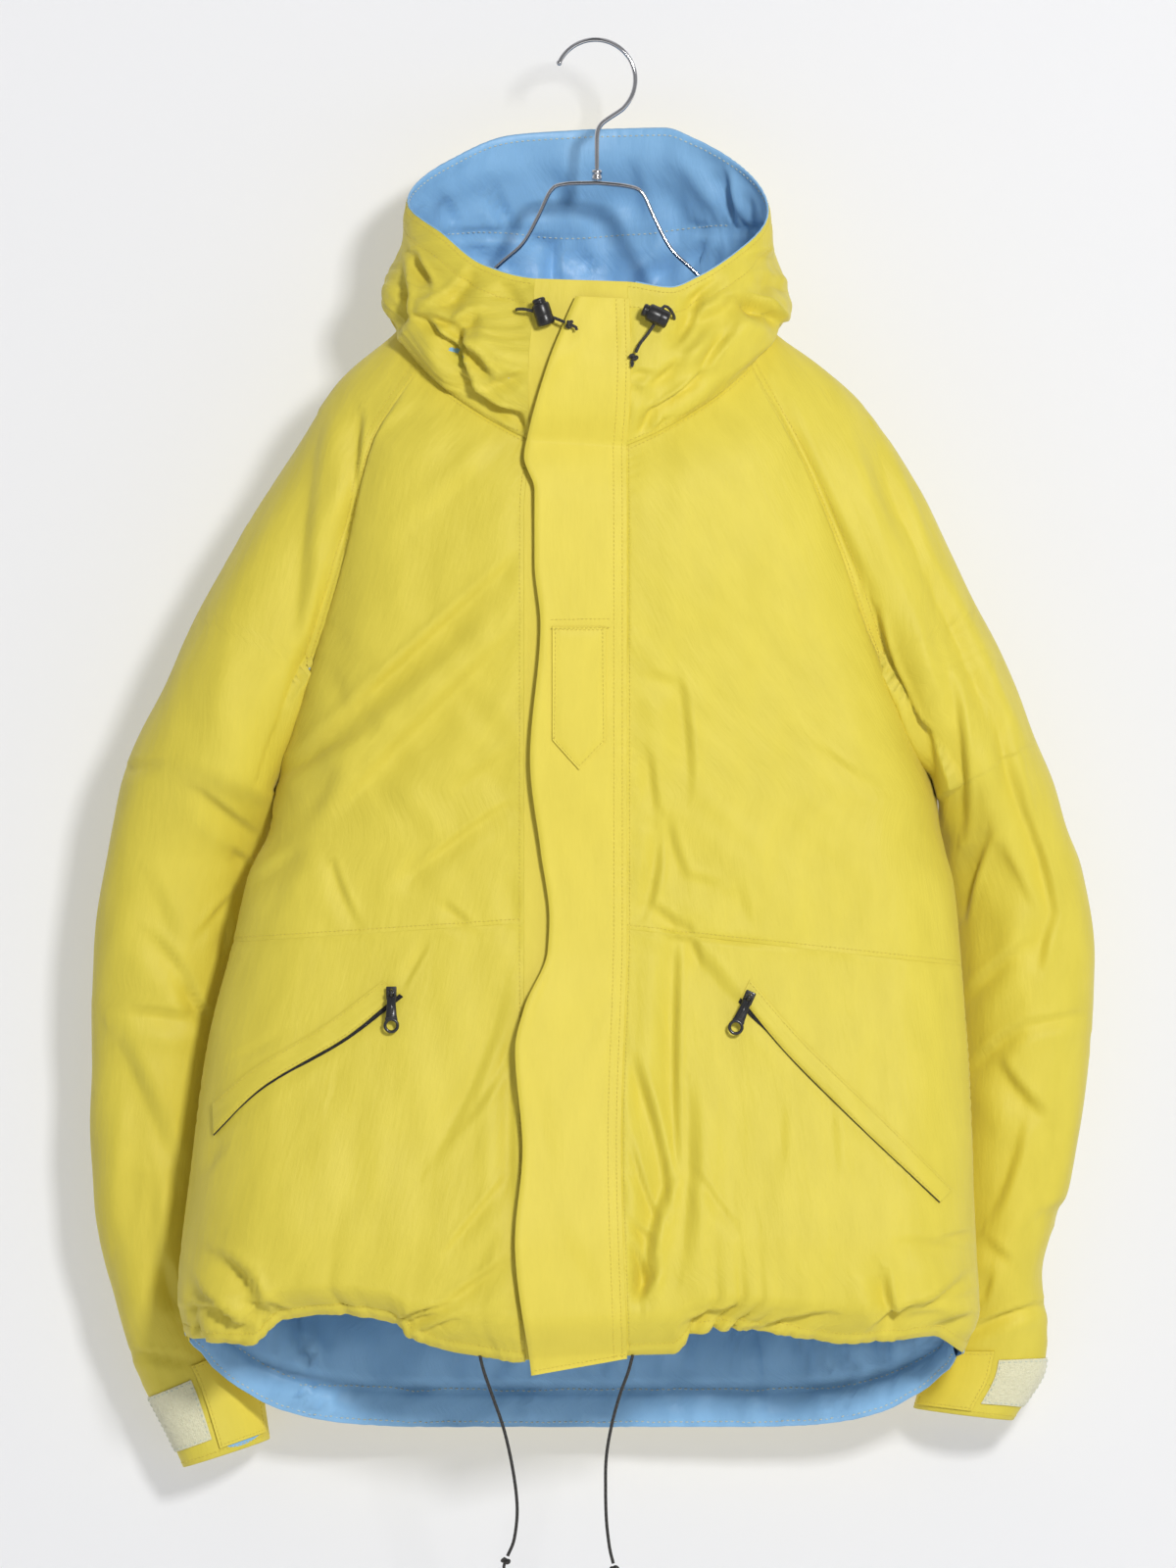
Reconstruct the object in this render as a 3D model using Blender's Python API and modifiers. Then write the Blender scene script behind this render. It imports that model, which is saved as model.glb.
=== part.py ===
"""A hooded mountain parka on a double-wire hanger, hanging flat as in front of a wall.

Frame: the origin is the inside of the hanger hook's top, where a rail carries it. +Z is up, the
garment faces -Y, and +X is the wearer's left. The tables are in millimetres, the model in metres.
"Right" and "left" are the wearer's. Every piece of cloth is a wall whose outer face is a surface
worked out from the tables, and pieces meet along the same seam points, a small gap apart.
"""
from collections import namedtuple
from math import cos, exp, hypot, pi, radians, sin, sqrt

import bmesh
import bpy
from mathutils import Matrix, Vector
from mathutils.bvhtree import BVHTree

MM = 0.001
SIDES = ("right", "left")

# Cloth, in millimetres
SHELL_WALL = 1.5            # outer cloth with its seam allowances
LINING_WALL = 1.0
FLAP_WALL = 1.6
SEAM_INSET = 0.35           # each piece stops this far from the seam line
HOOD_INSET = 0.9            # and the hood this far above the neck seam,
SEAM_STEP = 0.7             # and this far outside it
LINING_GAP = 0.4            # between the shell's inside and the lining
ON_CLOTH = 0.8              # clearance under what is sewn on a panel
ON_POCKET = 0.45            # and under the flat pieces at the pockets and on the flap
GAP = 0.3                   # between hard pieces

# Places along the body and the sleeve: 0 at the neck seam
ARMPIT = 0.44
NECK_FADE = 0.10            # above this the panels settle onto the neck ring

# Neck ring, as seen from above an ellipse; turn is in degrees from the front
NECK_X, NECK_Y = -8.0, -15.0
NECK_HALF_WIDTH, NECK_HALF_DEPTH = 123.0, 60.0
RIM_X, RIM_Y = -6.0, -14.0
RIM_HALF_WIDTH, RIM_HALF_DEPTH = 122.0, 64.0
SHOULDER_SPREAD = 26.0      # half of the neck ring that each sleeve takes, in degrees
OPENING = {"right": -17.0, "left": 12.5}    # front edges of the hood, in degrees

TurnHeight = namedtuple("TurnHeight", "turn height")
NECK_HEIGHT = [
    TurnHeight(0, -285), TurnHeight(20, -268), TurnHeight(40, -247), TurnHeight(64, -220),
    TurnHeight(90, -196), TurnHeight(116, -182), TurnHeight(150, -167), TurnHeight(180, -160)]
RIM_HEIGHT = [
    TurnHeight(-180, -58), TurnHeight(-155, -62), TurnHeight(-129, -80), TurnHeight(-110, -94),
    TurnHeight(-90, -108), TurnHeight(-56, -129), TurnHeight(-35, -153), TurnHeight(-17, -162),
    TurnHeight(0, -163), TurnHeight(12, -164), TurnHeight(27, -168), TurnHeight(37, -161),
    TurnHeight(58, -141), TurnHeight(90, -114), TurnHeight(110, -95), TurnHeight(128, -78),
    TurnHeight(143, -65), TurnHeight(155, -57), TurnHeight(180, -58)]

# How the hood leaves the straight line from neck to rim, at a quarter, half and three quarters up:
# out is away from the neck, drop is downwards. Behind, the slack hangs down as a bag.
HoodRow = namedtuple("HoodRow", "turn low_out low_drop mid_out mid_drop high_out high_drop")
HOOD_SAG = [
    HoodRow(0, 5, 0, 7, 0, 4, 0), HoodRow(45, 12, 5, 15, 5, 6, 2), HoodRow(90, 12, 9, 14, 15, 4, 7),
    HoodRow(125, 18, 45, 26, 70, 20, 30), HoodRow(150, 20, 85, 34, 120, 28, 50),
    HoodRow(180, 20, 95, 38, 135, 31, 58)]

# Sleeve sections from the neck to the cuff: the outer edge, the inner edge (the raglan seam, then
# the underarm), the depths in front of and behind the middle, and how far round the section is open
SleeveRow = namedtuple(
    "SleeveRow", "along outer_x outer_z inner_x inner_z outer_y inner_y front back spread")
SLEEVE = {
    "right": [
        SleeveRow(0.00, -133, -197, -119, -220, -15, -15, 60, 60, 26),
        SleeveRow(0.10, -174, -228, -151, -273, -3, -5, 52, 31, 75),
        SleeveRow(0.20, -224, -309, -168, -343, 0, -3, 50, 34, 105),
        SleeveRow(0.28, -255, -363, -184, -396, 1, -3, 48, 36, 125),
        SleeveRow(0.36, -283, -414, -201, -450, 2, -2, 46, 40, 150),
        SleeveRow(0.44, -310, -469, -217, -506, 4, 0, 45, 40, 180),
        SleeveRow(0.47, -319, -493, -221, -521, 7, 14, 44, 38, 180),
        SleeveRow(0.50, -325, -518, -225, -540, 10, 29, 43, 36, 180),
        SleeveRow(0.54, -331, -548, -229, -564, 15, 39, 42, 35, 180),
        SleeveRow(0.62, -341, -618, -238, -630, 24, 41, 41, 35, 180),
        SleeveRow(0.70, -343, -702, -250, -712, 30, 43, 40, 35, 180),
        SleeveRow(0.80, -339, -782, -258, -786, 34, 46, 38, 34, 180),
        SleeveRow(0.88, -328, -850, -258, -838, 38, 50, 35, 31, 180),
        SleeveRow(0.94, -314, -893, -242, -868, 43, 56, 29, 26, 180),
        SleeveRow(0.97, -299, -927, -230, -896, 47, 59, 26, 24, 180),
        SleeveRow(1.00, -281, -965, -222, -946, 50, 61, 26, 24, 180)],
    "left": [
        SleeveRow(0.00, 117, -197, 100, -221, -15, -15, 60, 60, 26),
        SleeveRow(0.10, 172, -237, 135, -278, -3, -5, 52, 31, 75),
        SleeveRow(0.20, 218, -304, 163, -343, 0, -3, 50, 34, 105),
        SleeveRow(0.28, 248, -362, 181, -396, 1, -3, 48, 36, 125),
        SleeveRow(0.36, 274, -413, 204, -452, 2, -2, 46, 40, 150),
        SleeveRow(0.44, 296, -470, 230, -511, 4, 0, 45, 40, 180),
        SleeveRow(0.47, 308, -499, 234, -526, 7, 14, 44, 38, 180),
        SleeveRow(0.50, 317, -526, 237, -544, 10, 29, 43, 36, 180),
        SleeveRow(0.54, 328, -558, 239, -568, 15, 39, 42, 35, 180),
        SleeveRow(0.62, 337, -628, 241, -635, 24, 41, 41, 35, 180),
        SleeveRow(0.70, 335, -690, 243, -712, 30, 43, 40, 35, 180),
        SleeveRow(0.80, 321, -768, 243, -785, 34, 46, 38, 34, 180),
        SleeveRow(0.88, 301, -834, 236, -842, 38, 50, 35, 31, 180),
        SleeveRow(0.94, 306, -874, 229, -874, 43, 56, 29, 26, 180),
        SleeveRow(0.97, 304, -898, 222, -900, 47, 59, 26, 24, 180),
        SleeveRow(1.00, 283, -933, 215, -925, 50, 61, 26, 24, 180)],
}

# Side seam below the armpit, and the heights of the same places at the front's centre edge
SideRow = namedtuple("SideRow", "along x y z")
SIDE_SEAM = {
    "right": [
        SideRow(0.44, -217, 0, -506), SideRow(0.47, -218, -7, -521), SideRow(0.50, -223, -15, -540),
        SideRow(0.54, -234, -20, -563), SideRow(0.60, -245, -22, -608), SideRow(0.70, -261, -25, -672),
        SideRow(0.80, -271, -28, -740), SideRow(0.90, -279, -30, -806), SideRow(0.96, -282, -32, -846),
        SideRow(1.00, -277, -28, -872)],
    "left": [
        SideRow(0.44, 230, 0, -511), SideRow(0.47, 231, -7, -526), SideRow(0.50, 235, -15, -546),
        SideRow(0.54, 241, -20, -570), SideRow(0.60, 246, -22, -624), SideRow(0.70, 250, -25, -688),
        SideRow(0.80, 253, -28, -752), SideRow(0.90, 256, -30, -816), SideRow(0.96, 258, -32, -856),
        SideRow(1.00, 247, -28, -884)],
}
CentreRow = namedtuple("CentreRow", "along x z")
CENTRE_EDGE = {
    "right": [
        CentreRow(0.00, -44, -271), CentreRow(0.12, -49, -320), CentreRow(0.44, -49, -506),
        CentreRow(0.60, -49, -595), CentreRow(0.80, -49, -742), CentreRow(1.00, -48, -888)],
    "left": [
        CentreRow(0.00, 18.6, -276), CentreRow(0.12, 19, -324), CentreRow(0.44, 19, -510),
        CentreRow(0.60, 19, -599), CentreRow(0.80, 15, -742), CentreRow(1.00, 19, -884)],
    "back": [
        CentreRow(0.00, -8, -160), CentreRow(0.44, 0, -505), CentreRow(0.60, 0, -606),
        CentreRow(0.80, 0, -760), CentreRow(1.00, 0, -937)],
}

# Depths (y) of the body's surfaces, and the width over which each curls round to the side seam
DepthRow = namedtuple("DepthRow", "along front_edge front_middle curl back_edge back_middle fall")
BODY_DEPTH = [
    DepthRow(0.00, -50, -74, 28, 25, 43, 1.5), DepthRow(0.10, -64, -83, 32, 32, 46, 1.5),
    DepthRow(0.20, -65, -85, 38, 37, 48, 1.5), DepthRow(0.30, -63, -83, 44, 38, 48, 1.5),
    DepthRow(0.44, -58, -80, 50, 36, 48, 1.5), DepthRow(0.52, -58, -79, 52, 34, 47, 1.5),
    DepthRow(0.60, -60, -80, 55, 32, 46, 1.6), DepthRow(0.70, -68, -86, 58, 30, 46, 2.0),
    DepthRow(0.80, -80, -96, 58, 28, 45, 2.8), DepthRow(0.90, -90, -108, 56, 24, 44, 4.0),
    DepthRow(0.96, -90, -109, 54, 20, 43, 5.2), DepthRow(1.00, -70, -94, 46, 15, 40, 6.5)]

# How far the gathered front hem is drawn up between the side seam (0) and the centre edge (1)
LiftRow = namedtuple("LiftRow", "across lift")
HEM_LIFT = {
    "right": [LiftRow(0, 0), LiftRow(0.18, -1), LiftRow(0.30, 17), LiftRow(0.48, 23),
              LiftRow(0.60, 20), LiftRow(0.66, 11), LiftRow(0.80, 3), LiftRow(1, 0)],
    "left": [LiftRow(0, 0), LiftRow(0.10, 13), LiftRow(0.26, 10), LiftRow(0.37, 9),
             LiftRow(0.54, 15), LiftRow(0.70, 19), LiftRow(0.80, 15), LiftRow(0.86, 1), LiftRow(1, 0)],
}
HEM_FADE = 0.12             # the part of the length over which the lift dies out

# The largest folds: soft troughs from one point to another, a negative depth is a ridge
Fold = namedtuple("Fold", "x0 z0 x1 z1 width depth")
FRONT_FOLDS = {
    "right": [
        Fold(-66, -480, -196, -585, 16, 5), Fold(-62, -390, -170, -470, 18, -4),
        Fold(-70, -545, -190, -640, 20, -4), Fold(-150, -840, -105, -870, 18, 9),
        Fold(-225, -820, -200, -868, 16, 9), Fold(-90, -700, -70, -850, 24, -5)],
    "left": [
        Fold(24, -700, 46, -800, 13, 9), Fold(46, -800, 36, -850, 13, 9),
        Fold(36, -850, 64, -878, 13, 9), Fold(80, -380, 120, -600, 22, 4),
        Fold(130, -520, 200, -470, 20, 4), Fold(180, -835, 195, -880, 16, 8),
        Fold(95, -830, 80, -872, 14, 7)],
}
BACK_FOLDS = [
    Fold(-120, -330, -60, -620, 26, 5), Fold(105, -340, 70, -600, 26, 5),
    Fold(-160, -650, -190, -860, 24, 5), Fold(150, -660, 175, -850, 24, 5),
    Fold(-20, -400, 10, -820, 34, -4)]
# Sleeve folds run round the sleeve: along, turn (-1 front, 0 outer edge, 1 back), half-lengths, depth
SleeveFold = namedtuple("SleeveFold", "along turn reach_along reach_turn depth")
SLEEVE_FOLDS = {
    "right": [
        SleeveFold(0.52, -0.72, 0.030, 0.20, 6), SleeveFold(0.60, -0.35, 0.028, 0.22, 5),
        SleeveFold(0.72, -0.45, 0.035, 0.24, 5), SleeveFold(0.86, -0.55, 0.022, 0.25, 6),
        SleeveFold(0.91, -0.25, 0.018, 0.22, 6), SleeveFold(0.60, 0.5, 0.03, 0.3, 5),
        SleeveFold(0.80, 0.5, 0.03, 0.3, 5)],
    "left": [
        SleeveFold(0.53, -0.70, 0.030, 0.20, 6), SleeveFold(0.66, -0.40, 0.035, 0.22, 5),
        SleeveFold(0.80, -0.60, 0.030, 0.25, 5), SleeveFold(0.89, -0.40, 0.020, 0.35, 7),
        SleeveFold(0.62, 0.5, 0.03, 0.3, 5), SleeveFold(0.78, 0.5, 0.03, 0.3, 5)],
}

# Grid places
RAGLAN_STATIONS = (0.0, 0.05, 0.10, 0.15, 0.20, 0.25, 0.30, 0.35, 0.40, 0.44)
UPPER_STATIONS = (0.47, 0.50, 0.54, 0.60)
LOWER_STATIONS = (0.60, 0.65, 0.70, 0.75, 0.80, 0.84, 0.88, 0.92, 0.96, 0.985, 1.0)
SLEEVE_STATIONS = (0.47, 0.50, 0.54, 0.58, 0.62, 0.67, 0.72, 0.77, 0.82, 0.86, 0.89, 0.92, 0.95,
                   0.975, 1.0)
CURL_TURNS = (0, 15, 38, 63, 90)
FRONT_COLUMNS, BACK_COLUMNS, SLEEVE_COLUMNS = 6, 6, 16
HOOD_COLUMNS, HOOD_ROWS, HOOD_LINING_ROWS = 34, 10, 6
COLLAR_ROWS = 4
CUFF_STRIP = (0.962, 0.975, 0.992)
CUFF_TAB = (0.955, 0.975, 0.997)

# Storm flap: its free edge (x) and how far it stands off, by height
FlapRow = namedtuple("FlapRow", "drop free_x stand_off")
FLAP_TOP, FLAP_FOOT = 0.90, 11.0
STORM_FLAP = [
    FlapRow(170, -13, 3), FlapRow(186, -20, 5), FlapRow(216, -32, 6), FlapRow(265, -46, 8),
    FlapRow(282, -49, 8), FlapRow(304, -42, 6), FlapRow(352, -42, 5), FlapRow(394, -38, 6),
    FlapRow(485, -45, 8), FlapRow(545, -38, 6), FlapRow(591, -32, 5), FlapRow(612, -33, 5),
    FlapRow(652, -49, 9), FlapRow(680, -55, 10), FlapRow(747, -50, 8), FlapRow(808, -55, 9),
    FlapRow(897, -44, 6)]
TAB_LEFT, TAB_RIGHT, TAB_TOP = -30.0, 6.0, -396.0
TAB_FOOT = (-472.0, -492.0, -473.0)         # left corner, point, right corner
TAB_POINT_X = -12.0

# Pockets: the zip's line and the welt's outer stitch line, from the slider down to the side
PocketRow = namedtuple("PocketRow", "part zip_x zip_z welt_x welt_z")
POCKET = {
    "right": [
        PocketRow(0.0, -132, -643, -144, -634), PocketRow(0.3, -168, -672, -184, -664),
        PocketRow(0.7, -226, -707, -230, -692), PocketRow(1.0, -258, -738, -259, -716)],
    "left": [
        PocketRow(0.0, 96, -646, 103, -633), PocketRow(0.3, 124, -680, 136, -671),
        PocketRow(0.7, 178, -734, 194, -728), PocketRow(1.0, 230, -783, 239, -774)],
}
ZIP_HALF_WIDTH, ZIP_WALL, WELT_WALL = 3.0, 1.0, 1.3
POCKET_STEPS = 13

# Zip pulls: the tab hangs from the slider's pin
PULL_LENGTH, PULL_RING, PULL_WIRE = 27.0, 4.2, 1.1
PULL_EYE, PULL_EYE_WIRE, PIN_RADIUS = 2.1, 0.9, 0.85
PULL_TILT = {"right": 0.0, "left": 24.0}    # degrees from plumb, about Y
SLIDER_SIZE = (7.0, 9.0)                    # width and height
PIN_STAND_OFF = 5.0

# Cords
CORD_RADIUS, KNOT_RADIUS, LOCK_HOLE = 1.1, 3.1, 1.7
CordPoint = namedtuple("CordPoint", "x y z")
HEM_CORD = {
    "right": [CordPoint(-78.5, -92.8, -884.9), CordPoint(-76, -93.5, -895), CordPoint(-70.5, -94, -911),
              CordPoint(-62, -94, -936), CordPoint(-56, -93.5, -964), CordPoint(-53.5, -93, -988),
              CordPoint(-55.5, -93, -1008), CordPoint(-60, -93, -1019.5)],
    "left": [CordPoint(24, -92.9, -884.7), CordPoint(21, -93.6, -896), CordPoint(15.5, -94, -911),
             CordPoint(10, -94, -931), CordPoint(6.3, -93.5, -953), CordPoint(5.8, -93, -975),
             CordPoint(6.4, -93, -996), CordPoint(8.5, -93, -1014), CordPoint(11, -93, -1024.5)],
}
HOOD_CORD = {
    "right": [CordPoint(-54, -77.3, -183), CordPoint(-53, -82, -182.8), CordPoint(-49, -86.5, -182.9),
              CordPoint(-43.4, -87.5, -184.1), CordPoint(-36, -88.2, -186.5),
              CordPoint(-28.6, -89, -188.9), CordPoint(-21.5, -91, -191.8)],
    "left": [CordPoint(52, -75.5, -189), CordPoint(51.5, -82, -187), CordPoint(49, -88, -183),
             CordPoint(45.5, -90.5, -181), CordPoint(42.5, -91, -184.5), CordPoint(39.5, -90.8, -191),
             CordPoint(34.5, -90, -199), CordPoint(29, -89.5, -206), CordPoint(26, -89, -212)],
}
LOCK_RADIUS, LOCK_LENGTH, BUTTON_RADIUS, BUTTON_LENGTH = 6.0, 15.0, 4.6, 4.5
LockPlace = namedtuple("LockPlace", "x y z along_x along_z through_x through_y through_z")
CORD_LOCK = {
    "right": LockPlace(-36, -88.2, -186.5, 0.31, -0.95, 14.8, -1.5, -4.8),
    "left": LockPlace(41, -90.9, -187.75, 0.91, -0.42, -3.0, 0.2, -6.5),
}

# Hanger
WIRE_RADIUS, ARM_RADIUS, ARM_SPACING = 1.6, 1.4, 4.0
HOOK_X, HOOK_Z, HOOK_TURN_RADIUS = -1.0, -25.4, 27.0
HOOK_TIP, HOOK_END = 156, -60               # degrees, from the tip over the top
FERRULE_TOP, FERRULE_FOOT, FERRULE_RADIUS = -86.5, -93.5, 3.7
ArmPoint = namedtuple("ArmPoint", "x z")
ARM = [ArmPoint(0, -95.3), ArmPoint(22, -97), ArmPoint(31, -101.5), ArmPoint(39, -118),
       ArmPoint(50, -138), ArmPoint(66, -153), ArmPoint(100, -185.5), ArmPoint(117, -201),
       ArmPoint(135, -213), ArmPoint(160, -232.5), ArmPoint(174, -244)]
ARM_LEAN = 0.036            # the hanger leans down to the wearer's left by this slope

Look = namedtuple("Look", "red green blue roughness metallic")
YELLOW = Look(0.72, 0.60, 0.08, 0.6, 0.0)
BLUE = Look(0.15, 0.33, 0.60, 0.6, 0.0)
CREAM = Look(0.78, 0.77, 0.58, 0.9, 0.0)
BLACK = Look(0.015, 0.014, 0.013, 0.4, 0.0)
CHROME = Look(0.75, 0.75, 0.76, 0.12, 1.0)


def read(rows, column, at):
    """A column's value between the rows of a table, on a smooth curve that never overshoots."""
    keys = [row[0] for row in rows]
    values = [getattr(row, column) for row in rows]
    at = min(max(at, keys[0]), keys[-1])
    slopes = [(values[k + 1] - values[k]) / (keys[k + 1] - keys[k]) for k in range(len(keys) - 1)]

    def tangent(k):
        if k in (0, len(slopes)):
            return slopes[min(k, len(slopes) - 1)]
        before, after = slopes[k - 1], slopes[k]
        return 0.0 if before * after <= 0 else 2 * before * after / (before + after)

    k = max(index for index in range(len(slopes)) if keys[index] <= at)
    span = keys[k + 1] - keys[k]
    f = (at - keys[k]) / span
    return ((1 + 2 * f) * (1 - f) ** 2 * values[k] + f * f * (3 - 2 * f) * values[k + 1]
            + f * (1 - f) ** 2 * span * tangent(k) - f * f * (1 - f) * span * tangent(k + 1))


def smooth_route(points, step):
    """Points about a step apart on a smooth curve through the route's points."""
    places = [Vector(point) for point in points]
    ends = [2 * places[0] - places[1]] + places + [2 * places[-1] - places[-2]]
    route = []
    for a, b, c, d in zip(ends, ends[1:], ends[2:], ends[3:]):
        pieces = max(1, round((c - b).length / step))
        for piece in range(pieces):
            t = piece / pieces
            route.append(0.5 * (2 * b + (c - a) * t + (2 * a - 5 * b + 4 * c - d) * t * t
                                + (3 * b - a - 3 * c + d) * t ** 3))
    return route + [places[-1]]


# ---------------------------------------------------------------- surfaces, in millimetres

def neck_point(turn):
    return Vector((NECK_X + NECK_HALF_WIDTH * sin(radians(turn)),
                   NECK_Y - NECK_HALF_DEPTH * cos(radians(turn)),
                   read(NECK_HEIGHT, "height", abs(turn))))


def rim_point(turn):
    return Vector((RIM_X + RIM_HALF_WIDTH * sin(radians(turn)),
                   RIM_Y - RIM_HALF_DEPTH * cos(radians(turn)),
                   read(RIM_HEIGHT, "height", turn)))


Step = namedtuple("Step", "up value")


def hood_point(turn, up):
    """The hood's outer face: turn round the neck, up from the neck seam (0) to the rim (1)."""
    def sag(kind):
        steps = [Step(0, 0), Step(0.25, read(HOOD_SAG, "low_" + kind, abs(turn))),
                 Step(0.5, read(HOOD_SAG, "mid_" + kind, abs(turn))),
                 Step(0.75, read(HOOD_SAG, "high_" + kind, abs(turn))), Step(1, 0)]
        return read(steps, "value", up)
    place = neck_point(turn).lerp(rim_point(turn), up)
    outwards = Vector((sin(radians(turn)), -cos(radians(turn)), 0))
    return place + outwards * (sag("out") + SEAM_STEP * (1 - up)) - Vector((0, 0, sag("drop")))


def sleeve_point(side, along, turn):
    """The sleeve's outer face: turn -1 is the front seam, 0 the outer edge, 1 the back seam."""
    rows = SLEEVE[side]

    def section(at):
        row = {name: read(rows, name, at) for name in SleeveRow._fields}
        angle = radians(row["spread"]) * turn
        reach = (1 - cos(angle)) / (1 - cos(radians(row["spread"])))
        depth = row["back"] if turn > 0 else row["front"]
        return Vector((row["outer_x"] + (row["inner_x"] - row["outer_x"]) * reach,
                       row["outer_y"] + (row["inner_y"] - row["outer_y"]) * (1 - cos(angle)) / 2
                       + depth * sin(angle),
                       row["outer_z"] + (row["inner_z"] - row["outer_z"]) * reach))

    place = section(along)
    if along < NECK_FADE:
        ring_turn = (90 + SHOULDER_SPREAD * turn) * (-1 if side == "right" else 1)
        place += (neck_point(ring_turn) - section(0)) * (1 - along / NECK_FADE) ** 2
    for fold in SLEEVE_FOLDS[side]:
        away = ((along - fold.along) / fold.reach_along) ** 2 + ((turn - fold.turn) / fold.reach_turn) ** 2
        place.y += fold.depth * exp(-away) * (-1 if turn > 0 else 1)
    return place


def edge_point(side, face, along):
    """Where a body panel ends: on the raglan seam down to the armpit, then on the side seam."""
    if along <= ARMPIT:
        return sleeve_point(side, along, -1 if face == "front" else 1)
    return Vector([read(SIDE_SEAM[side], axis, along) for axis in "xyz"])


def fold_depth(folds, x, z):
    """How deep the troughs are at a place on a panel."""
    total = 0.0
    for fold in folds:
        run_x, run_z = fold.x1 - fold.x0, fold.z1 - fold.z0
        along = ((x - fold.x0) * run_x + (z - fold.z0) * run_z) / (run_x ** 2 + run_z ** 2)
        held = min(max(along, 0.0), 1.0)
        away = hypot(x - fold.x0 - run_x * held, z - fold.z0 - run_z * held)
        total += fold.depth * exp(-(away / fold.width) ** 2)
    return total


def body_point(side, face, along, across):
    """A body panel's outer face: across runs from the seam at the side (0) to the middle (1)."""
    edge = edge_point(side, face, along)
    centre_rows = CENTRE_EDGE[side if face == "front" else "back"]
    centre_x, centre_z = read(centre_rows, "x", along), read(centre_rows, "z", along)
    near, middle = read(BODY_DEPTH, face + "_edge", along), read(BODY_DEPTH, face + "_middle", along)
    curl = read(BODY_DEPTH, "curl", along)
    x = edge.x + (centre_x - edge.x) * across
    from_edge = min(abs(x - edge.x) / curl, 1.0)
    round_over = sqrt(1 - (1 - from_edge) ** 2)
    flat_y = near + (middle - near) * sin(across * pi / 2)
    if face == "front":
        z = edge.z + (centre_z - edge.z) * across
        z += read(HEM_LIFT[side], "lift", across) * max(0.0, 1 - (1 - along) / HEM_FADE)
        flat_y += fold_depth(FRONT_FOLDS[side], x, z) * sqrt(max(0.0, sin(pi * across)))
    else:
        z = edge.z + (centre_z - edge.z) * (1 - (1 - across) ** read(BODY_DEPTH, "fall", along))
        flat_y -= fold_depth(BACK_FOLDS, x, z)
    return Vector((x, edge.y + (flat_y - edge.y) * round_over, z))


def on_neck_ring(side, face, across):
    """The neck seam's place above a column of a body panel."""
    if face == "front":
        turn = -(90 - SHOULDER_SPREAD) if side == "right" else 90 - SHOULDER_SPREAD
        return neck_point(turn + (OPENING[side] - turn) * across)
    turn = 90 + SHOULDER_SPREAD + (90 - SHOULDER_SPREAD) * across
    return neck_point(-turn if side == "right" else turn)


def settled_body_point(side, face, along, across):
    """A body point that meets the neck ring at the top."""
    place = body_point(side, face, along, across)
    if along < NECK_FADE:
        shift = on_neck_ring(side, face, across) - body_point(side, face, 0.0, across)
        place += shift * (1 - along / NECK_FADE) ** 2
    return place


# ---------------------------------------------------------------- grids of surface points

def inset_ends(row, amount):
    """A row whose first and last points are drawn in towards their neighbours."""
    row = list(row)
    row[0] = row[0] + (row[1] - row[0]).normalized() * amount
    row[-1] = row[-1] + (row[-2] - row[-1]).normalized() * amount
    return row


def inset_rows(rows, amount, top=True, foot=True):
    """Rows whose first or last line is drawn in towards the next one."""
    rows = [list(row) for row in rows]
    if top:
        rows[0] = [a + (b - a).normalized() * amount for a, b in zip(rows[0], rows[1])]
    if foot:
        rows[-1] = [a + (b - a).normalized() * amount for a, b in zip(rows[-1], rows[-2])]
    return rows


def across_places(side, face, along, columns):
    """Places across a panel: close together where it curls round at the side."""
    width = abs(read(CENTRE_EDGE[side if face == "front" else "back"], "x", along)
                - edge_point(side, face, along).x)
    curl = read(BODY_DEPTH, "curl", along) / width
    arc = [curl * (1 - cos(radians(turn))) for turn in CURL_TURNS]
    return arc + [min(1.0, arc[-1] + (1 - arc[-1]) * (k + 1) / columns) for k in range(columns)]


def front_rows(side, stations):
    return [inset_ends([settled_body_point(side, "front", along, across)
                        for across in across_places(side, "front", along, FRONT_COLUMNS)], SEAM_INSET)
            for along in stations]


def back_rows(stations):
    rows = []
    for along in stations:
        halves = [[settled_body_point(side, "back", along, across)
                   for across in across_places(side, "back", along, BACK_COLUMNS)] for side in SIDES]
        rows.append(inset_ends(halves[0] + halves[1][-2::-1], SEAM_INSET))
    return rows


def sleeve_rows(side):
    """Open arcs down to the armpit, then closed rings; the last point of a ring is its first."""
    turns = [2 * k / SLEEVE_COLUMNS - 1 for k in range(SLEEVE_COLUMNS + 1)]
    arcs = [inset_ends([sleeve_point(side, along, turn) for turn in turns], SEAM_INSET)
            for along in RAGLAN_STATIONS[:-1]]
    rings = [[sleeve_point(side, along, turn) for turn in turns]
             for along in (ARMPIT,) + SLEEVE_STATIONS]
    seam = rings[0][0]
    outward = Vector((-1 if side == "right" else 1, 0, 0))
    rings[0][0] = rings[0][-1] = seam + outward * 2 * SEAM_INSET
    return arcs + rings, len(arcs)


def hood_rows(up_from=0.0, up_to=1.0):
    span = OPENING["left"] - OPENING["right"]
    turns = [OPENING["left"] + (360 - span) * k / HOOD_COLUMNS for k in range(HOOD_COLUMNS + 1)]
    turns = [turn if turn <= 180 else turn - 360 for turn in turns]
    return [[hood_point(turn, up_from + (up_to - up_from) * row / HOOD_ROWS) for turn in turns]
            for row in range(HOOD_ROWS, -1, -1)]


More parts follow.
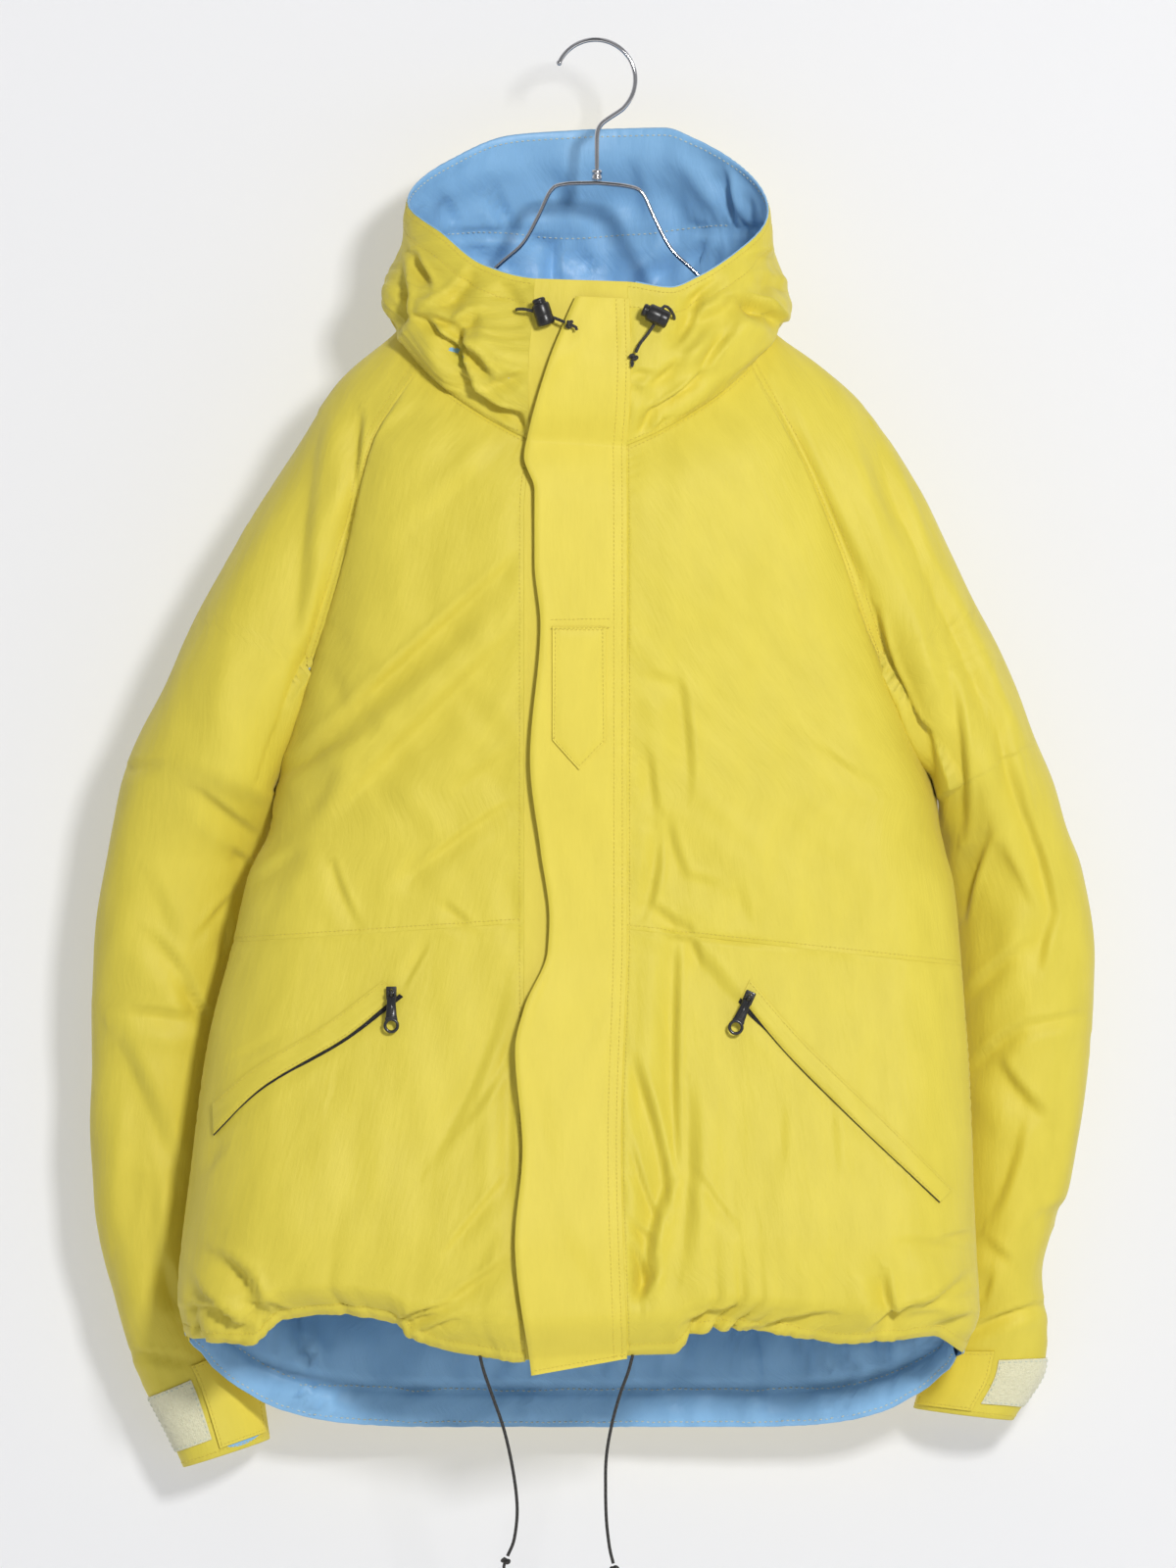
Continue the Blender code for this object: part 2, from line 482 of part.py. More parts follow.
def placket_rows():
    """The zip strip between the fronts, from the top of the collar to the hem."""
    lines = [(hood_point(OPENING["right"], 1 - row / COLLAR_ROWS),
              hood_point(OPENING["left"], 1 - row / COLLAR_ROWS)) for row in range(COLLAR_ROWS)]
    lines += [tuple(settled_body_point(side, "front", along, 1.0) for side in SIDES)
              for along in RAGLAN_STATIONS + UPPER_STATIONS + LOWER_STATIONS[1:]]
    return [inset_ends([right.lerp(left, part) for part in (0.0, 0.5, 1.0)], SEAM_INSET)
            for right, left in lines]


def offset_rows(rows, distance):
    """The same grid moved along its normals, outwards where the distance is positive."""
    moved = []
    last_row, last_column = len(rows) - 1, len(rows[0]) - 1
    for r, row in enumerate(rows):
        line = []
        for c, place in enumerate(row):
            down = rows[min(r + 1, last_row)][c] - rows[max(r - 1, 0)][c]
            side = rows[r][min(c + 1, last_column)] - rows[r][max(c - 1, 0)]
            line.append(place + side.cross(down).normalized() * distance)
        moved.append(line)
    return moved


# ---------------------------------------------------------------- making objects

def material(name, look):
    made = bpy.data.materials.new(name)
    made.use_nodes = True
    shader = made.node_tree.nodes["Principled BSDF"]
    shader.inputs["Base Color"].default_value = (look.red, look.green, look.blue, 1.0)
    shader.inputs["Roughness"].default_value = look.roughness
    shader.inputs["Metallic"].default_value = look.metallic
    return made


def add_object(name, data, look, collection):
    made = bpy.data.objects.new(name, data)
    made.data.materials.append(material(name + "_finish", look))
    collection.objects.link(made)
    return made


def mesh_object(name, bm, look, collection):
    mesh = bpy.data.meshes.new(name)
    bm.to_mesh(mesh)
    bm.free()
    mesh.shade_smooth()
    return add_object(name, mesh, look, collection)


def sheet(name, rows, wall, look, collection, closed_from=None, flip=False, outwards=False):
    """A wall on a grid of points in millimetres; rows from closed_from on are closed rings."""
    bm = bmesh.new()
    grid = []
    for index, row in enumerate(rows):
        verts = [bm.verts.new(place * MM) for place in row[:-1]]
        ring = closed_from is not None and index >= closed_from
        verts.append(verts[0] if ring else bm.verts.new(row[-1] * MM))
        grid.append(verts)
    for upper, lower in zip(grid, grid[1:]):
        for c in range(len(upper) - 1):
            corners = [upper[c], upper[c + 1], lower[c + 1], lower[c]]
            corners = [v for k, v in enumerate(corners) if v not in corners[:k]]
            bm.faces.new(corners[::-1] if flip else corners)
    made = mesh_object(name, bm, look, collection)
    solid = made.modifiers.new("wall", "SOLIDIFY")
    solid.thickness = wall * MM
    solid.offset = 1.0 if outwards else -1.0
    return made


def tube(name, points, radius, look, collection, cyclic=False):
    """A round wire or cord through points in millimetres."""
    curve = bpy.data.curves.new(name, "CURVE")
    curve.dimensions = "3D"
    curve.bevel_depth = radius * MM
    curve.bevel_resolution = 2
    curve.use_fill_caps = True
    spline = curve.splines.new("POLY")
    spline.points.add(len(points) - 1)
    for place, point in zip(points, spline.points):
        point.co = (*(Vector(place) * MM), 1.0)
    spline.use_cyclic_u = cyclic
    return add_object(name, curve, look, collection)


def boolean(target, cutter, operation):
    change = target.modifiers.new(operation.lower(), "BOOLEAN")
    change.operation = operation
    change.solver = "EXACT"
    change.object = cutter
    cutter.hide_render = True
    cutter.display_type = "WIRE"


def cylinder(name, radius, length, look, collection, segments=12):
    """A cylinder along Z about its own origin."""
    bm = bmesh.new()
    bmesh.ops.create_cone(bm, cap_ends=True, segments=segments, radius1=radius * MM,
                          radius2=radius * MM, depth=length * MM)
    return mesh_object(name, bm, look, collection)


def box(name, size, look, collection):
    bm = bmesh.new()
    bmesh.ops.create_cube(bm, size=1.0)
    bmesh.ops.scale(bm, vec=[length * MM for length in size], verts=bm.verts)
    return mesh_object(name, bm, look, collection)


def ring(name, radius, wire, look, collection, segments=14, sides=6):
    """A wire ring in the XZ plane about its own origin."""
    bm = bmesh.new()
    profile = [bm.verts.new(((radius + wire * cos(2 * pi * k / sides)) * MM,
                             wire * sin(2 * pi * k / sides) * MM, 0)) for k in range(sides)]
    edges = [bm.edges.new((profile[k], profile[(k + 1) % sides])) for k in range(sides)]
    bmesh.ops.spin(bm, geom=profile + edges, cent=(0, 0, 0), axis=(0, 1, 0), angle=2 * pi,
                   steps=segments, use_merge=True)
    bmesh.ops.remove_doubles(bm, verts=bm.verts, dist=1e-6)
    bmesh.ops.recalc_face_normals(bm, faces=bm.faces)
    return mesh_object(name, bm, look, collection)


def face_map(objects):
    """The finished faces of some objects, to find how far forward the cloth is at a place."""
    bpy.context.view_layer.update()
    graph = bpy.context.evaluated_depsgraph_get()
    verts, polygons = [], []
    for made in objects:
        mesh = made.evaluated_get(graph).data
        start = len(verts)
        verts += [made.matrix_world @ vert.co for vert in mesh.vertices]
        polygons += [[start + index for index in face.vertices] for face in mesh.polygons]
    return BVHTree.FromPolygons(verts, polygons)


def front_y(faces, x, z):
    """The y, in millimetres, of the foremost cloth at a place, or None beside it."""
    hit = faces.ray_cast(Vector((x * MM, -1.0, z * MM)), Vector((0, 1, 0)))[0]
    return None if hit is None else hit.y / MM


def laid_on(faces, x, z, clearance):
    """A point in front of the cloth: clear of it at the place and close round it."""
    around = [(0, 0), (-3, 0), (3, 0), (0, -3), (0, 3)]
    depths = [front_y(faces, x + dx, z + dz) for dx, dz in around]
    return Vector((x, min(depth for depth in depths if depth is not None) - clearance, z))


# ---------------------------------------------------------------- the pieces

def make_body(collection):
    """Fronts, back, sleeves, hood and their linings."""
    made = {}
    for side in SIDES:
        mirrored = side == "left"
        upper = front_rows(side, RAGLAN_STATIONS + UPPER_STATIONS)
        lower = front_rows(side, LOWER_STATIONS)
        made["upper_" + side] = sheet(
            "front_upper_" + side, inset_rows(upper, SEAM_INSET), SHELL_WALL, YELLOW, collection,
            flip=not mirrored)
        made["lower_" + side] = sheet(
            "front_lower_" + side, inset_rows(lower, SEAM_INSET, foot=False), SHELL_WALL, YELLOW,
            collection, flip=not mirrored)
        rows, closed_from = sleeve_rows(side)
        made["sleeve_" + side] = sheet(
            "sleeve_" + side, inset_rows(rows, SEAM_INSET, foot=False), SHELL_WALL, YELLOW, collection,
            closed_from=closed_from, flip=mirrored)
    stations = RAGLAN_STATIONS + UPPER_STATIONS + LOWER_STATIONS[1:]
    back = back_rows(stations)
    made["back"] = sheet("back_panel", inset_rows(back, SEAM_INSET, foot=False), SHELL_WALL, YELLOW,
                         collection)
    depth = SHELL_WALL + LINING_GAP
    hem = offset_rows(back[-7:], -depth)
    hem = [inset_ends(row, 1.0) for row in hem]
    sheet("back_lining", inset_rows(hem, 1.5, top=False), LINING_WALL, BLUE, collection)
    hood = [inset_ends(row, 2 * SEAM_INSET) for row in hood_rows()]
    made["hood"] = sheet("hood", inset_rows(hood, HOOD_INSET, top=False), SHELL_WALL, YELLOW,
                         collection, flip=True)
    inside = [inset_ends(row, 1.5) for row in offset_rows(hood, depth)[:HOOD_LINING_ROWS]]
    sheet("hood_lining", inset_rows(inside, 1.5), LINING_WALL, BLUE, collection, flip=True)
    made["placket"] = sheet("zip_placket", placket_rows(), SHELL_WALL, YELLOW, collection, flip=True)
    return made


def make_storm_flap(collection):
    """The flap over the zip: sewn on along the left front's edge, its free edge waving."""
    strip = placket_rows()
    top = [hood_point(OPENING["left"], FLAP_TOP), hood_point(OPENING["right"], FLAP_TOP)]
    lines = [(top[0], top[1])] + [(row[-1], row[0]) for row in strip[1:]]
    lines.append(tuple(place - Vector((0, 0, FLAP_FOOT * part)) for part, place in
                       ((0.3, strip[-1][-1]), (1.0, strip[-1][0]))))
    rows = []
    for sewn, far in lines:
        free_x = read(STORM_FLAP, "free_x", -far.z)
        stand_off = read(STORM_FLAP, "stand_off", -far.z)
        row = []
        for part in (0.0, 0.33, 0.66, 1.0):
            x = sewn.x + (free_x - sewn.x) * part
            over = sewn.lerp(far, (x - sewn.x) / (far.x - sewn.x))
            row.append(Vector((x, over.y - ON_CLOTH - stand_off * part, over.z)))
        rows.append(row)
    return sheet("storm_flap", rows, FLAP_WALL, YELLOW, collection, outwards=True)


def make_flap_tab(flap, collection):
    faces = face_map([flap])
    rows = []
    for part in (0.0, 0.25, 0.5, 0.75, 1.0):
        row = []
        for x, foot in zip((TAB_LEFT, TAB_POINT_X, TAB_RIGHT), TAB_FOOT):
            row.append(laid_on(faces, x, TAB_TOP + (foot - TAB_TOP) * part, ON_POCKET))
        rows.append(row)
    return sheet("flap_tab", rows, FLAP_WALL, YELLOW, collection, flip=True, outwards=True)


def make_pocket(side, panel, collection):
    """The zip tape in its slit and the welt above it; gives back where the slider sits."""
    faces = face_map([panel])
    rows = POCKET[side]
    tape, welt = [], []
    for step in range(POCKET_STEPS + 1):
        part = step / POCKET_STEPS
        zip_x, zip_z = read(rows, "zip_x", part), read(rows, "zip_z", part)
        welt_x, welt_z = read(rows, "welt_x", part), read(rows, "welt_z", part)
        away = Vector((zip_x - welt_x, 0, zip_z - welt_z)).normalized()
        seam, edge = Vector((welt_x, 0, welt_z)), Vector((zip_x, 0, zip_z)) - away * 1.5
        welt.append([laid_on(faces, place.x, place.z, ON_POCKET)
                     for place in (seam, seam.lerp(edge, 0.5), edge)])
        tape.append([laid_on(faces, zip_x + away.x * offset, zip_z + away.z * offset, ON_POCKET)
                     for offset in (-0.8, 2 * ZIP_HALF_WIDTH)])
    mirrored = side == "right"
    laid = [sheet("pocket_welt_" + side, welt, WELT_WALL, YELLOW, collection, flip=mirrored,
                  outwards=True),
            sheet("pocket_zip_" + side, tape, ZIP_WALL, BLACK, collection, flip=mirrored,
                  outwards=True)]
    return face_map([panel] + laid)


def make_zip_pull(side, faces, collection, cutters):
    """Slider with its pin, and the pull tab that turns on it."""
    start = POCKET[side][0]
    x, z = start.zip_x - (6 if side == "right" else -6), start.zip_z + 1
    tilt = Matrix.Rotation(radians(PULL_TILT[side]), 4, "Y")
    hang = tilt @ Vector((0, 0, -1))
    below = [front_y(faces, x + hang.x * drop + aside, z + hang.z * drop)
             for drop in range(-6, 32, 2) for aside in (-5, 0, 5)]
    cloth = min(front_y(faces, x + dx, z + dz) for dx in (-4, 0, 4) for dz in (-5, 0, 5))
    pin_y = min(below) - PIN_STAND_OFF
    pin = Vector((x, pin_y, z))
    place = Matrix.Translation(pin * MM) @ tilt

    slider = cylinder("zip_slider_" + side, PIN_RADIUS, 5.2, BLACK, collection)
    slider.matrix_world = place @ Matrix.Rotation(radians(90), 4, "Y")
    plate_y = cloth - 2 * SEAM_INSET
    lug_depth = plate_y - pin_y + 1.2
    for offset in (-2.1, 2.1):
        lug = box("slider_lug", (1.2, lug_depth, 3.0), BLACK, cutters)
        lug.matrix_world = place @ Matrix.Translation(Vector((offset, lug_depth / 2 - 1.2, 0)) * MM)
        boolean(slider, lug, "UNION")
    plate = box("slider_plate", (SLIDER_SIZE[0], 1.6, SLIDER_SIZE[1]), BLACK, cutters)
    plate.matrix_world = place @ Matrix.Translation(Vector((0, plate_y - pin_y - 0.8, 0)) * MM)
    boolean(slider, plate, "UNION")

    pull = ring("zip_pull_" + side, PULL_EYE, PULL_EYE_WIRE, BLACK, collection)
    pull.matrix_world = place @ Matrix.Rotation(radians(90), 4, "Z")
    foot = PULL_LENGTH - PULL_RING - PULL_WIRE
    loop = ring("pull_loop", PULL_RING, PULL_WIRE, BLACK, cutters, segments=18)
    loop.matrix_world = place @ Matrix.Translation(Vector((0, 0, -foot)) * MM)
    stem_length = foot - PULL_RING - PULL_EYE
    stem = box("pull_stem", (3.0, 1.5, stem_length), BLACK, cutters)
    stem.matrix_world = place @ Matrix.Translation(
        Vector((0, 0, -(foot - PULL_RING + PULL_EYE) / 2)) * MM)
    boolean(pull, stem, "UNION")
    boolean(pull, loop, "UNION")


def make_hood_cord(side, collection, cutters):
    """The drawcord's end, its lock with a hole through it, and the knot."""
    lock = CORD_LOCK[side]
    axis = Vector((lock.along_x, 0, lock.along_z))
    centre = Vector((lock.x, lock.y, lock.z))
    turn = axis.to_track_quat("Z", "Y").to_matrix().to_4x4()
    body = cylinder("cord_lock_" + side, LOCK_RADIUS, LOCK_LENGTH, BLACK, collection)
    body.matrix_world = Matrix.Translation(centre * MM) @ turn
    button = cylinder("lock_button", BUTTON_RADIUS, BUTTON_LENGTH, BLACK, cutters)
    button.matrix_world = Matrix.Translation(
        (centre - axis * (LOCK_LENGTH + BUTTON_LENGTH - 1) / 2) * MM) @ turn
    boolean(body, button, "UNION")
    through = Vector((lock.through_x, lock.through_y, lock.through_z))
    hole = cylinder("lock_hole", LOCK_HOLE, 30, BLACK, cutters)
    hole.matrix_world = (Matrix.Translation(centre * MM)
                         @ through.to_track_quat("Z", "Y").to_matrix().to_4x4())
    boolean(body, hole, "DIFFERENCE")
    knotted_cord("hood", side, smooth_route(HOOD_CORD[side], 2.5), collection)


def knotted_cord(kind, side, route, collection):
    """A cord that ends in a knot, a hair from its last point."""
    tube(kind + "_cord_" + side, route, CORD_RADIUS, BLACK, collection)
    bm = bmesh.new()
    bmesh.ops.create_uvsphere(bm, u_segments=8, v_segments=6, radius=KNOT_RADIUS * MM)
    knot = mesh_object(kind + "_knot_" + side, bm, BLACK, collection)
    onwards = (route[-1] - route[-2]).normalized()
    knot.location = (route[-1] + onwards * (KNOT_RADIUS + GAP)) * MM


def make_hem_cords(collection):
    for side in SIDES:
        knotted_cord("hem", side, smooth_route(HEM_CORD[side], 5.0), collection)


def make_cuff(side, collection):
    """The loop strip on the cuff's front and the tab that runs from it past the inner edge."""
    def on_sleeve(along, turn, out):
        here = sleeve_point(side, along, turn)
        around = sleeve_point(side, along, turn + 0.02) - sleeve_point(side, along, turn - 0.02)
        down = sleeve_point(side, min(along + 0.004, 1), turn) - sleeve_point(side, along - 0.004, turn)
        normal = around.cross(down).normalized()
        if normal.dot(here - cuff_middle(along)) < 0:
            normal.negate()
        return here + normal * out

    def cuff_middle(along):
        return (sleeve_point(side, along, 0) + sleeve_point(side, along, -1)) / 2

    turns = [-k / SLEEVE_COLUMNS for k in range(8)]
    strip = [[on_sleeve(along, turn, ON_CLOTH + 0.4) for turn in turns] for along in CUFF_STRIP]
    sheet("cuff_strip_" + side, strip, LINING_WALL, CREAM, collection, flip=side == "right",
          outwards=True)
    turns = [-k / SLEEVE_COLUMNS for k in range(8, 15)]
    tab = [[on_sleeve(along, turn, ON_CLOTH + 0.4) for turn in turns] for along in CUFF_TAB]
    sheet("cuff_tab_" + side, tab, FLAP_WALL, YELLOW, collection, flip=side == "right",
          outwards=True)


def make_hanger(collection):
    hook = [(HOOK_X + HOOK_TURN_RADIUS * cos(radians(turn)), 0,
             HOOK_Z + HOOK_TURN_RADIUS * sin(radians(turn))) for turn in range(HOOK_TIP, HOOK_END, -9)]
    hook += [(5.2, 0, -53.6), (1.6, 0, -57.6), (0.3, 0, -62), (0, 0, -68), (0, 0, -78),
             (0, 0, FERRULE_TOP + 0.3)]
    tube("hanger_hook", hook, WIRE_RADIUS, CHROME, collection)
    ferrule = cylinder("hanger_ferrule", FERRULE_RADIUS, FERRULE_TOP - FERRULE_FOOT, CHROME, collection)
    ferrule.location = (0, 0, (FERRULE_TOP + FERRULE_FOOT) / 2 * MM)
    arm = smooth_route([(point.x, 0, point.z) for point in ARM], 13.0)
    across = [(-point.x, point.z) for point in arm[:0:-1]] + [(point.x, point.z) for point in arm]
    front = [Vector((x, -ARM_SPACING, z - ARM_LEAN * x)) for x, z in across]
    back = [Vector((place.x, ARM_SPACING, place.z)) for place in reversed(front)]
    bend = front[-1] + Vector((3.0, ARM_SPACING, -3.6))
    far_bend = front[0] + Vector((-3.0, ARM_SPACING, -3.4))
    tube("hanger_wire", front + [bend] + back + [far_bend], ARM_RADIUS, CHROME, collection,
         cyclic=True)


def main():
    for old in list(bpy.data.objects):
        bpy.data.objects.remove(old, do_unlink=True)
    scene = bpy.context.scene
    parts = bpy.data.collections.new("parka")
    cutters = bpy.data.collections.new("cutters")
    for group in (parts, cutters):
        scene.collection.children.link(group)
    body = make_body(parts)
    flap = make_storm_flap(parts)
    make_flap_tab(flap, parts)
    for side in SIDES:
        faces = make_pocket(side, body["lower_" + side], parts)
        make_zip_pull(side, faces, parts, cutters)
        make_hood_cord(side, parts, cutters)
        make_cuff(side, parts)
    make_hem_cords(parts)
    make_hanger(parts)


main()
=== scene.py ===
"""Looks for the hooded parka: fine cloth, seams, zips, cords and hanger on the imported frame.

The tables and surfaces of the source are repeated here, in millimetres, and worked out on fine grids
with the creases, gathers and seams that the cloth shows. Meshes are made in metres.
"""

from collections import namedtuple
from math import cos, hypot, pi, radians, sin

import bmesh
import bpy
import numpy as np
from mathutils import Matrix, Vector
from mathutils.bvhtree import BVHTree


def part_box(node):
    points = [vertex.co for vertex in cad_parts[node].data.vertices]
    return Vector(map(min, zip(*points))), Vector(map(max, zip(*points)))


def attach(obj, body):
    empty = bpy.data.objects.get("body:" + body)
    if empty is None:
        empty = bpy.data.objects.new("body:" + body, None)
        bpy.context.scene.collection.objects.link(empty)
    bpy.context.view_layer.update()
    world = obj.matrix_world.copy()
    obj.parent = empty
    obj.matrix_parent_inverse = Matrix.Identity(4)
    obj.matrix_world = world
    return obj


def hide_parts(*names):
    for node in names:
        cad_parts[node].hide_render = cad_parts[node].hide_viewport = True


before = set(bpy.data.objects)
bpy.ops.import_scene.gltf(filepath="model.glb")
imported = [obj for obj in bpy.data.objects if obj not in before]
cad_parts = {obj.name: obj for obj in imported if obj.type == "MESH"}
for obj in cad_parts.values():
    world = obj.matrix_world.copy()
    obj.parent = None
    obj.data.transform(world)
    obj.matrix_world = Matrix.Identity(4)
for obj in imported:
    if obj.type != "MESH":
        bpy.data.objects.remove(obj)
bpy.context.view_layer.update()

MM = 0.001
SIDES = ("right", "left")
BODY = "parka"
WALL_Y = 0.094
TO_FRONT, TO_BACK = np.array([0, -1.0, 0]), np.array([0, 1.0, 0])

# ------------------------------------------------------------------ the source's sizes and tables
SHELL_WALL = 0.9
LINING_WALL = 0.6
SEAM_STEP = 0.7
ARMPIT = 0.44
NECK_FADE = 0.10
NECK_X, NECK_Y = -8.0, -15.0
NECK_HALF_WIDTH, NECK_HALF_DEPTH = 123.0, 60.0
RIM_X, RIM_Y = -6.0, -14.0
RIM_HALF_WIDTH, RIM_HALF_DEPTH = 122.0, 64.0
SHOULDER_SPREAD = 26.0
OPENING = {"right": -17.0, "left": 12.5}

TurnHeight = namedtuple("TurnHeight", "turn height")
NECK_HEIGHT = [
    TurnHeight(0, -285), TurnHeight(20, -268), TurnHeight(40, -247), TurnHeight(64, -220),
    TurnHeight(90, -196), TurnHeight(116, -182), TurnHeight(150, -167), TurnHeight(180, -160)]
RIM_HEIGHT = [
    TurnHeight(-180, -58), TurnHeight(-155, -62), TurnHeight(-129, -80), TurnHeight(-110, -94),
    TurnHeight(-90, -108), TurnHeight(-56, -129), TurnHeight(-35, -153), TurnHeight(-17, -162),
    TurnHeight(0, -163), TurnHeight(12, -164), TurnHeight(27, -168), TurnHeight(37, -161),
    TurnHeight(58, -141), TurnHeight(90, -114), TurnHeight(110, -95), TurnHeight(128, -78),
    TurnHeight(143, -65), TurnHeight(155, -57), TurnHeight(180, -58)]
HoodRow = namedtuple("HoodRow", "turn low_out low_drop mid_out mid_drop high_out high_drop")
HOOD_SAG = [
    HoodRow(0, 5, 0, 7, 0, 4, 0), HoodRow(45, 12, 5, 15, 5, 6, 2), HoodRow(90, 12, 9, 14, 15, 4, 7),
    HoodRow(125, 18, 45, 26, 70, 20, 30), HoodRow(150, 20, 85, 34, 120, 28, 50),
    HoodRow(180, 20, 95, 38, 135, 31, 58)]
SleeveRow = namedtuple(
    "SleeveRow", "along outer_x outer_z inner_x inner_z outer_y inner_y front back spread")
SLEEVE = {
    "right": [
        SleeveRow(0.00, -133, -197, -119, -220, -15, -15, 60, 60, 26),
        SleeveRow(0.10, -174, -228, -151, -273, -3, -5, 52, 31, 75),
        SleeveRow(0.20, -224, -309, -168, -343, 0, -3, 50, 34, 105),
        SleeveRow(0.28, -255, -363, -184, -396, 1, -3, 48, 36, 125),
        SleeveRow(0.36, -283, -414, -201, -450, 2, -2, 46, 40, 150),
        SleeveRow(0.44, -310, -469, -217, -506, 4, 0, 45, 40, 180),
        SleeveRow(0.47, -319, -493, -221, -521, 7, 14, 44, 38, 180),
        SleeveRow(0.50, -325, -518, -225, -540, 10, 29, 43, 36, 180),
        SleeveRow(0.54, -331, -548, -229, -564, 15, 39, 42, 35, 180),
        SleeveRow(0.62, -341, -618, -238, -630, 24, 41, 41, 35, 180),
        SleeveRow(0.70, -343, -702, -250, -712, 30, 43, 40, 35, 180),
        SleeveRow(0.80, -339, -782, -258, -786, 34, 46, 38, 34, 180),
        SleeveRow(0.88, -328, -850, -258, -838, 38, 50, 35, 31, 180),
        SleeveRow(0.94, -314, -893, -242, -868, 43, 56, 29, 26, 180),
        SleeveRow(0.97, -299, -927, -230, -896, 47, 59, 26, 24, 180),
        SleeveRow(1.00, -281, -965, -222, -946, 50, 61, 26, 24, 180)],
    "left": [
        SleeveRow(0.00, 117, -197, 100, -221, -15, -15, 60, 60, 26),
        SleeveRow(0.10, 172, -237, 135, -278, -3, -5, 52, 31, 75),
        SleeveRow(0.20, 218, -304, 163, -343, 0, -3, 50, 34, 105),
        SleeveRow(0.28, 248, -362, 181, -396, 1, -3, 48, 36, 125),
        SleeveRow(0.36, 274, -413, 204, -452, 2, -2, 46, 40, 150),
        SleeveRow(0.44, 296, -470, 230, -511, 4, 0, 45, 40, 180),
        SleeveRow(0.47, 308, -499, 234, -526, 7, 14, 44, 38, 180),
        SleeveRow(0.50, 317, -526, 237, -544, 10, 29, 43, 36, 180),
        SleeveRow(0.54, 328, -558, 239, -568, 15, 39, 42, 35, 180),
        SleeveRow(0.62, 337, -628, 241, -635, 24, 41, 41, 35, 180),
        SleeveRow(0.70, 335, -690, 243, -712, 30, 43, 40, 35, 180),
        SleeveRow(0.80, 321, -768, 243, -785, 34, 46, 38, 34, 180),
        SleeveRow(0.88, 301, -834, 236, -842, 38, 50, 35, 31, 180),
        SleeveRow(0.94, 306, -874, 229, -874, 43, 56, 29, 26, 180),
        SleeveRow(0.97, 304, -898, 222, -900, 47, 59, 26, 24, 180),
        SleeveRow(1.00, 283, -933, 215, -925, 50, 61, 26, 24, 180)],
}
SideRow = namedtuple("SideRow", "along x y z")
SIDE_SEAM = {
    "right": [
        SideRow(0.44, -217, 0, -506), SideRow(0.47, -218, -7, -521), SideRow(0.50, -223, -15, -540),
        SideRow(0.54, -234, -20, -563), SideRow(0.60, -245, -22, -608), SideRow(0.70, -261, -25, -672),
        SideRow(0.80, -271, -28, -740), SideRow(0.90, -279, -30, -806), SideRow(0.96, -282, -32, -846),
        SideRow(1.00, -277, -28, -872)],
    "left": [
        SideRow(0.44, 230, 0, -511), SideRow(0.47, 231, -7, -526), SideRow(0.50, 235, -15, -546),
        SideRow(0.54, 241, -20, -570), SideRow(0.60, 246, -22, -624), SideRow(0.70, 250, -25, -688),
        SideRow(0.80, 253, -28, -752), SideRow(0.90, 256, -30, -816), SideRow(0.96, 258, -32, -856),
        SideRow(1.00, 247, -28, -884)],
}
CentreRow = namedtuple("CentreRow", "along x z")
CENTRE_EDGE = {
    "right": [
        CentreRow(0.00, -44, -271), CentreRow(0.12, -49, -320), CentreRow(0.44, -49, -506),
        CentreRow(0.60, -49, -595), CentreRow(0.80, -49, -742), CentreRow(1.00, -48, -888)],
    "left": [
        CentreRow(0.00, 18.6, -276), CentreRow(0.12, 19, -324), CentreRow(0.44, 19, -510),
        CentreRow(0.60, 19, -599), CentreRow(0.80, 15, -742), CentreRow(1.00, 19, -884)],
    "back": [
        CentreRow(0.00, -8, -160), CentreRow(0.44, 0, -505), CentreRow(0.60, 0, -606),
        CentreRow(0.80, 0, -760), CentreRow(1.00, 0, -937)],
}
DepthRow = namedtuple("DepthRow", "along front_edge front_middle curl back_edge back_middle fall")
BODY_DEPTH = [
    DepthRow(0.00, -50, -74, 28, 25, 43, 1.5), DepthRow(0.10, -64, -83, 32, 32, 46, 1.5),
    DepthRow(0.20, -65, -85, 38, 37, 48, 1.5), DepthRow(0.30, -63, -83, 44, 38, 48, 1.5),
    DepthRow(0.44, -58, -80, 50, 36, 48, 1.5), DepthRow(0.52, -58, -79, 52, 34, 47, 1.5),
    DepthRow(0.60, -60, -80, 55, 32, 46, 1.6), DepthRow(0.70, -68, -86, 58, 30, 46, 2.0),
    DepthRow(0.80, -80, -96, 58, 28, 45, 2.8), DepthRow(0.90, -90, -108, 56, 24, 44, 4.0),
    DepthRow(0.96, -90, -109, 54, 20, 43, 5.2), DepthRow(1.00, -70, -94, 46, 15, 40, 6.5)]
LiftRow = namedtuple("LiftRow", "across lift")
HEM_LIFT = {
    "right": [LiftRow(0, 0), LiftRow(0.18, -1), LiftRow(0.30, 17), LiftRow(0.48, 23),
              LiftRow(0.60, 20), LiftRow(0.66, 11), LiftRow(0.80, 3), LiftRow(1, 0)],
    "left": [LiftRow(0, 0), LiftRow(0.10, 13), LiftRow(0.26, 10), LiftRow(0.37, 9),
             LiftRow(0.54, 15), LiftRow(0.70, 19), LiftRow(0.80, 15), LiftRow(0.86, 1), LiftRow(1, 0)],
}
HEM_FADE = 0.12
FlapRow = namedtuple("FlapRow", "drop free_x stand_off")
FLAP_TOP, FLAP_FOOT = 0.90, 11.0
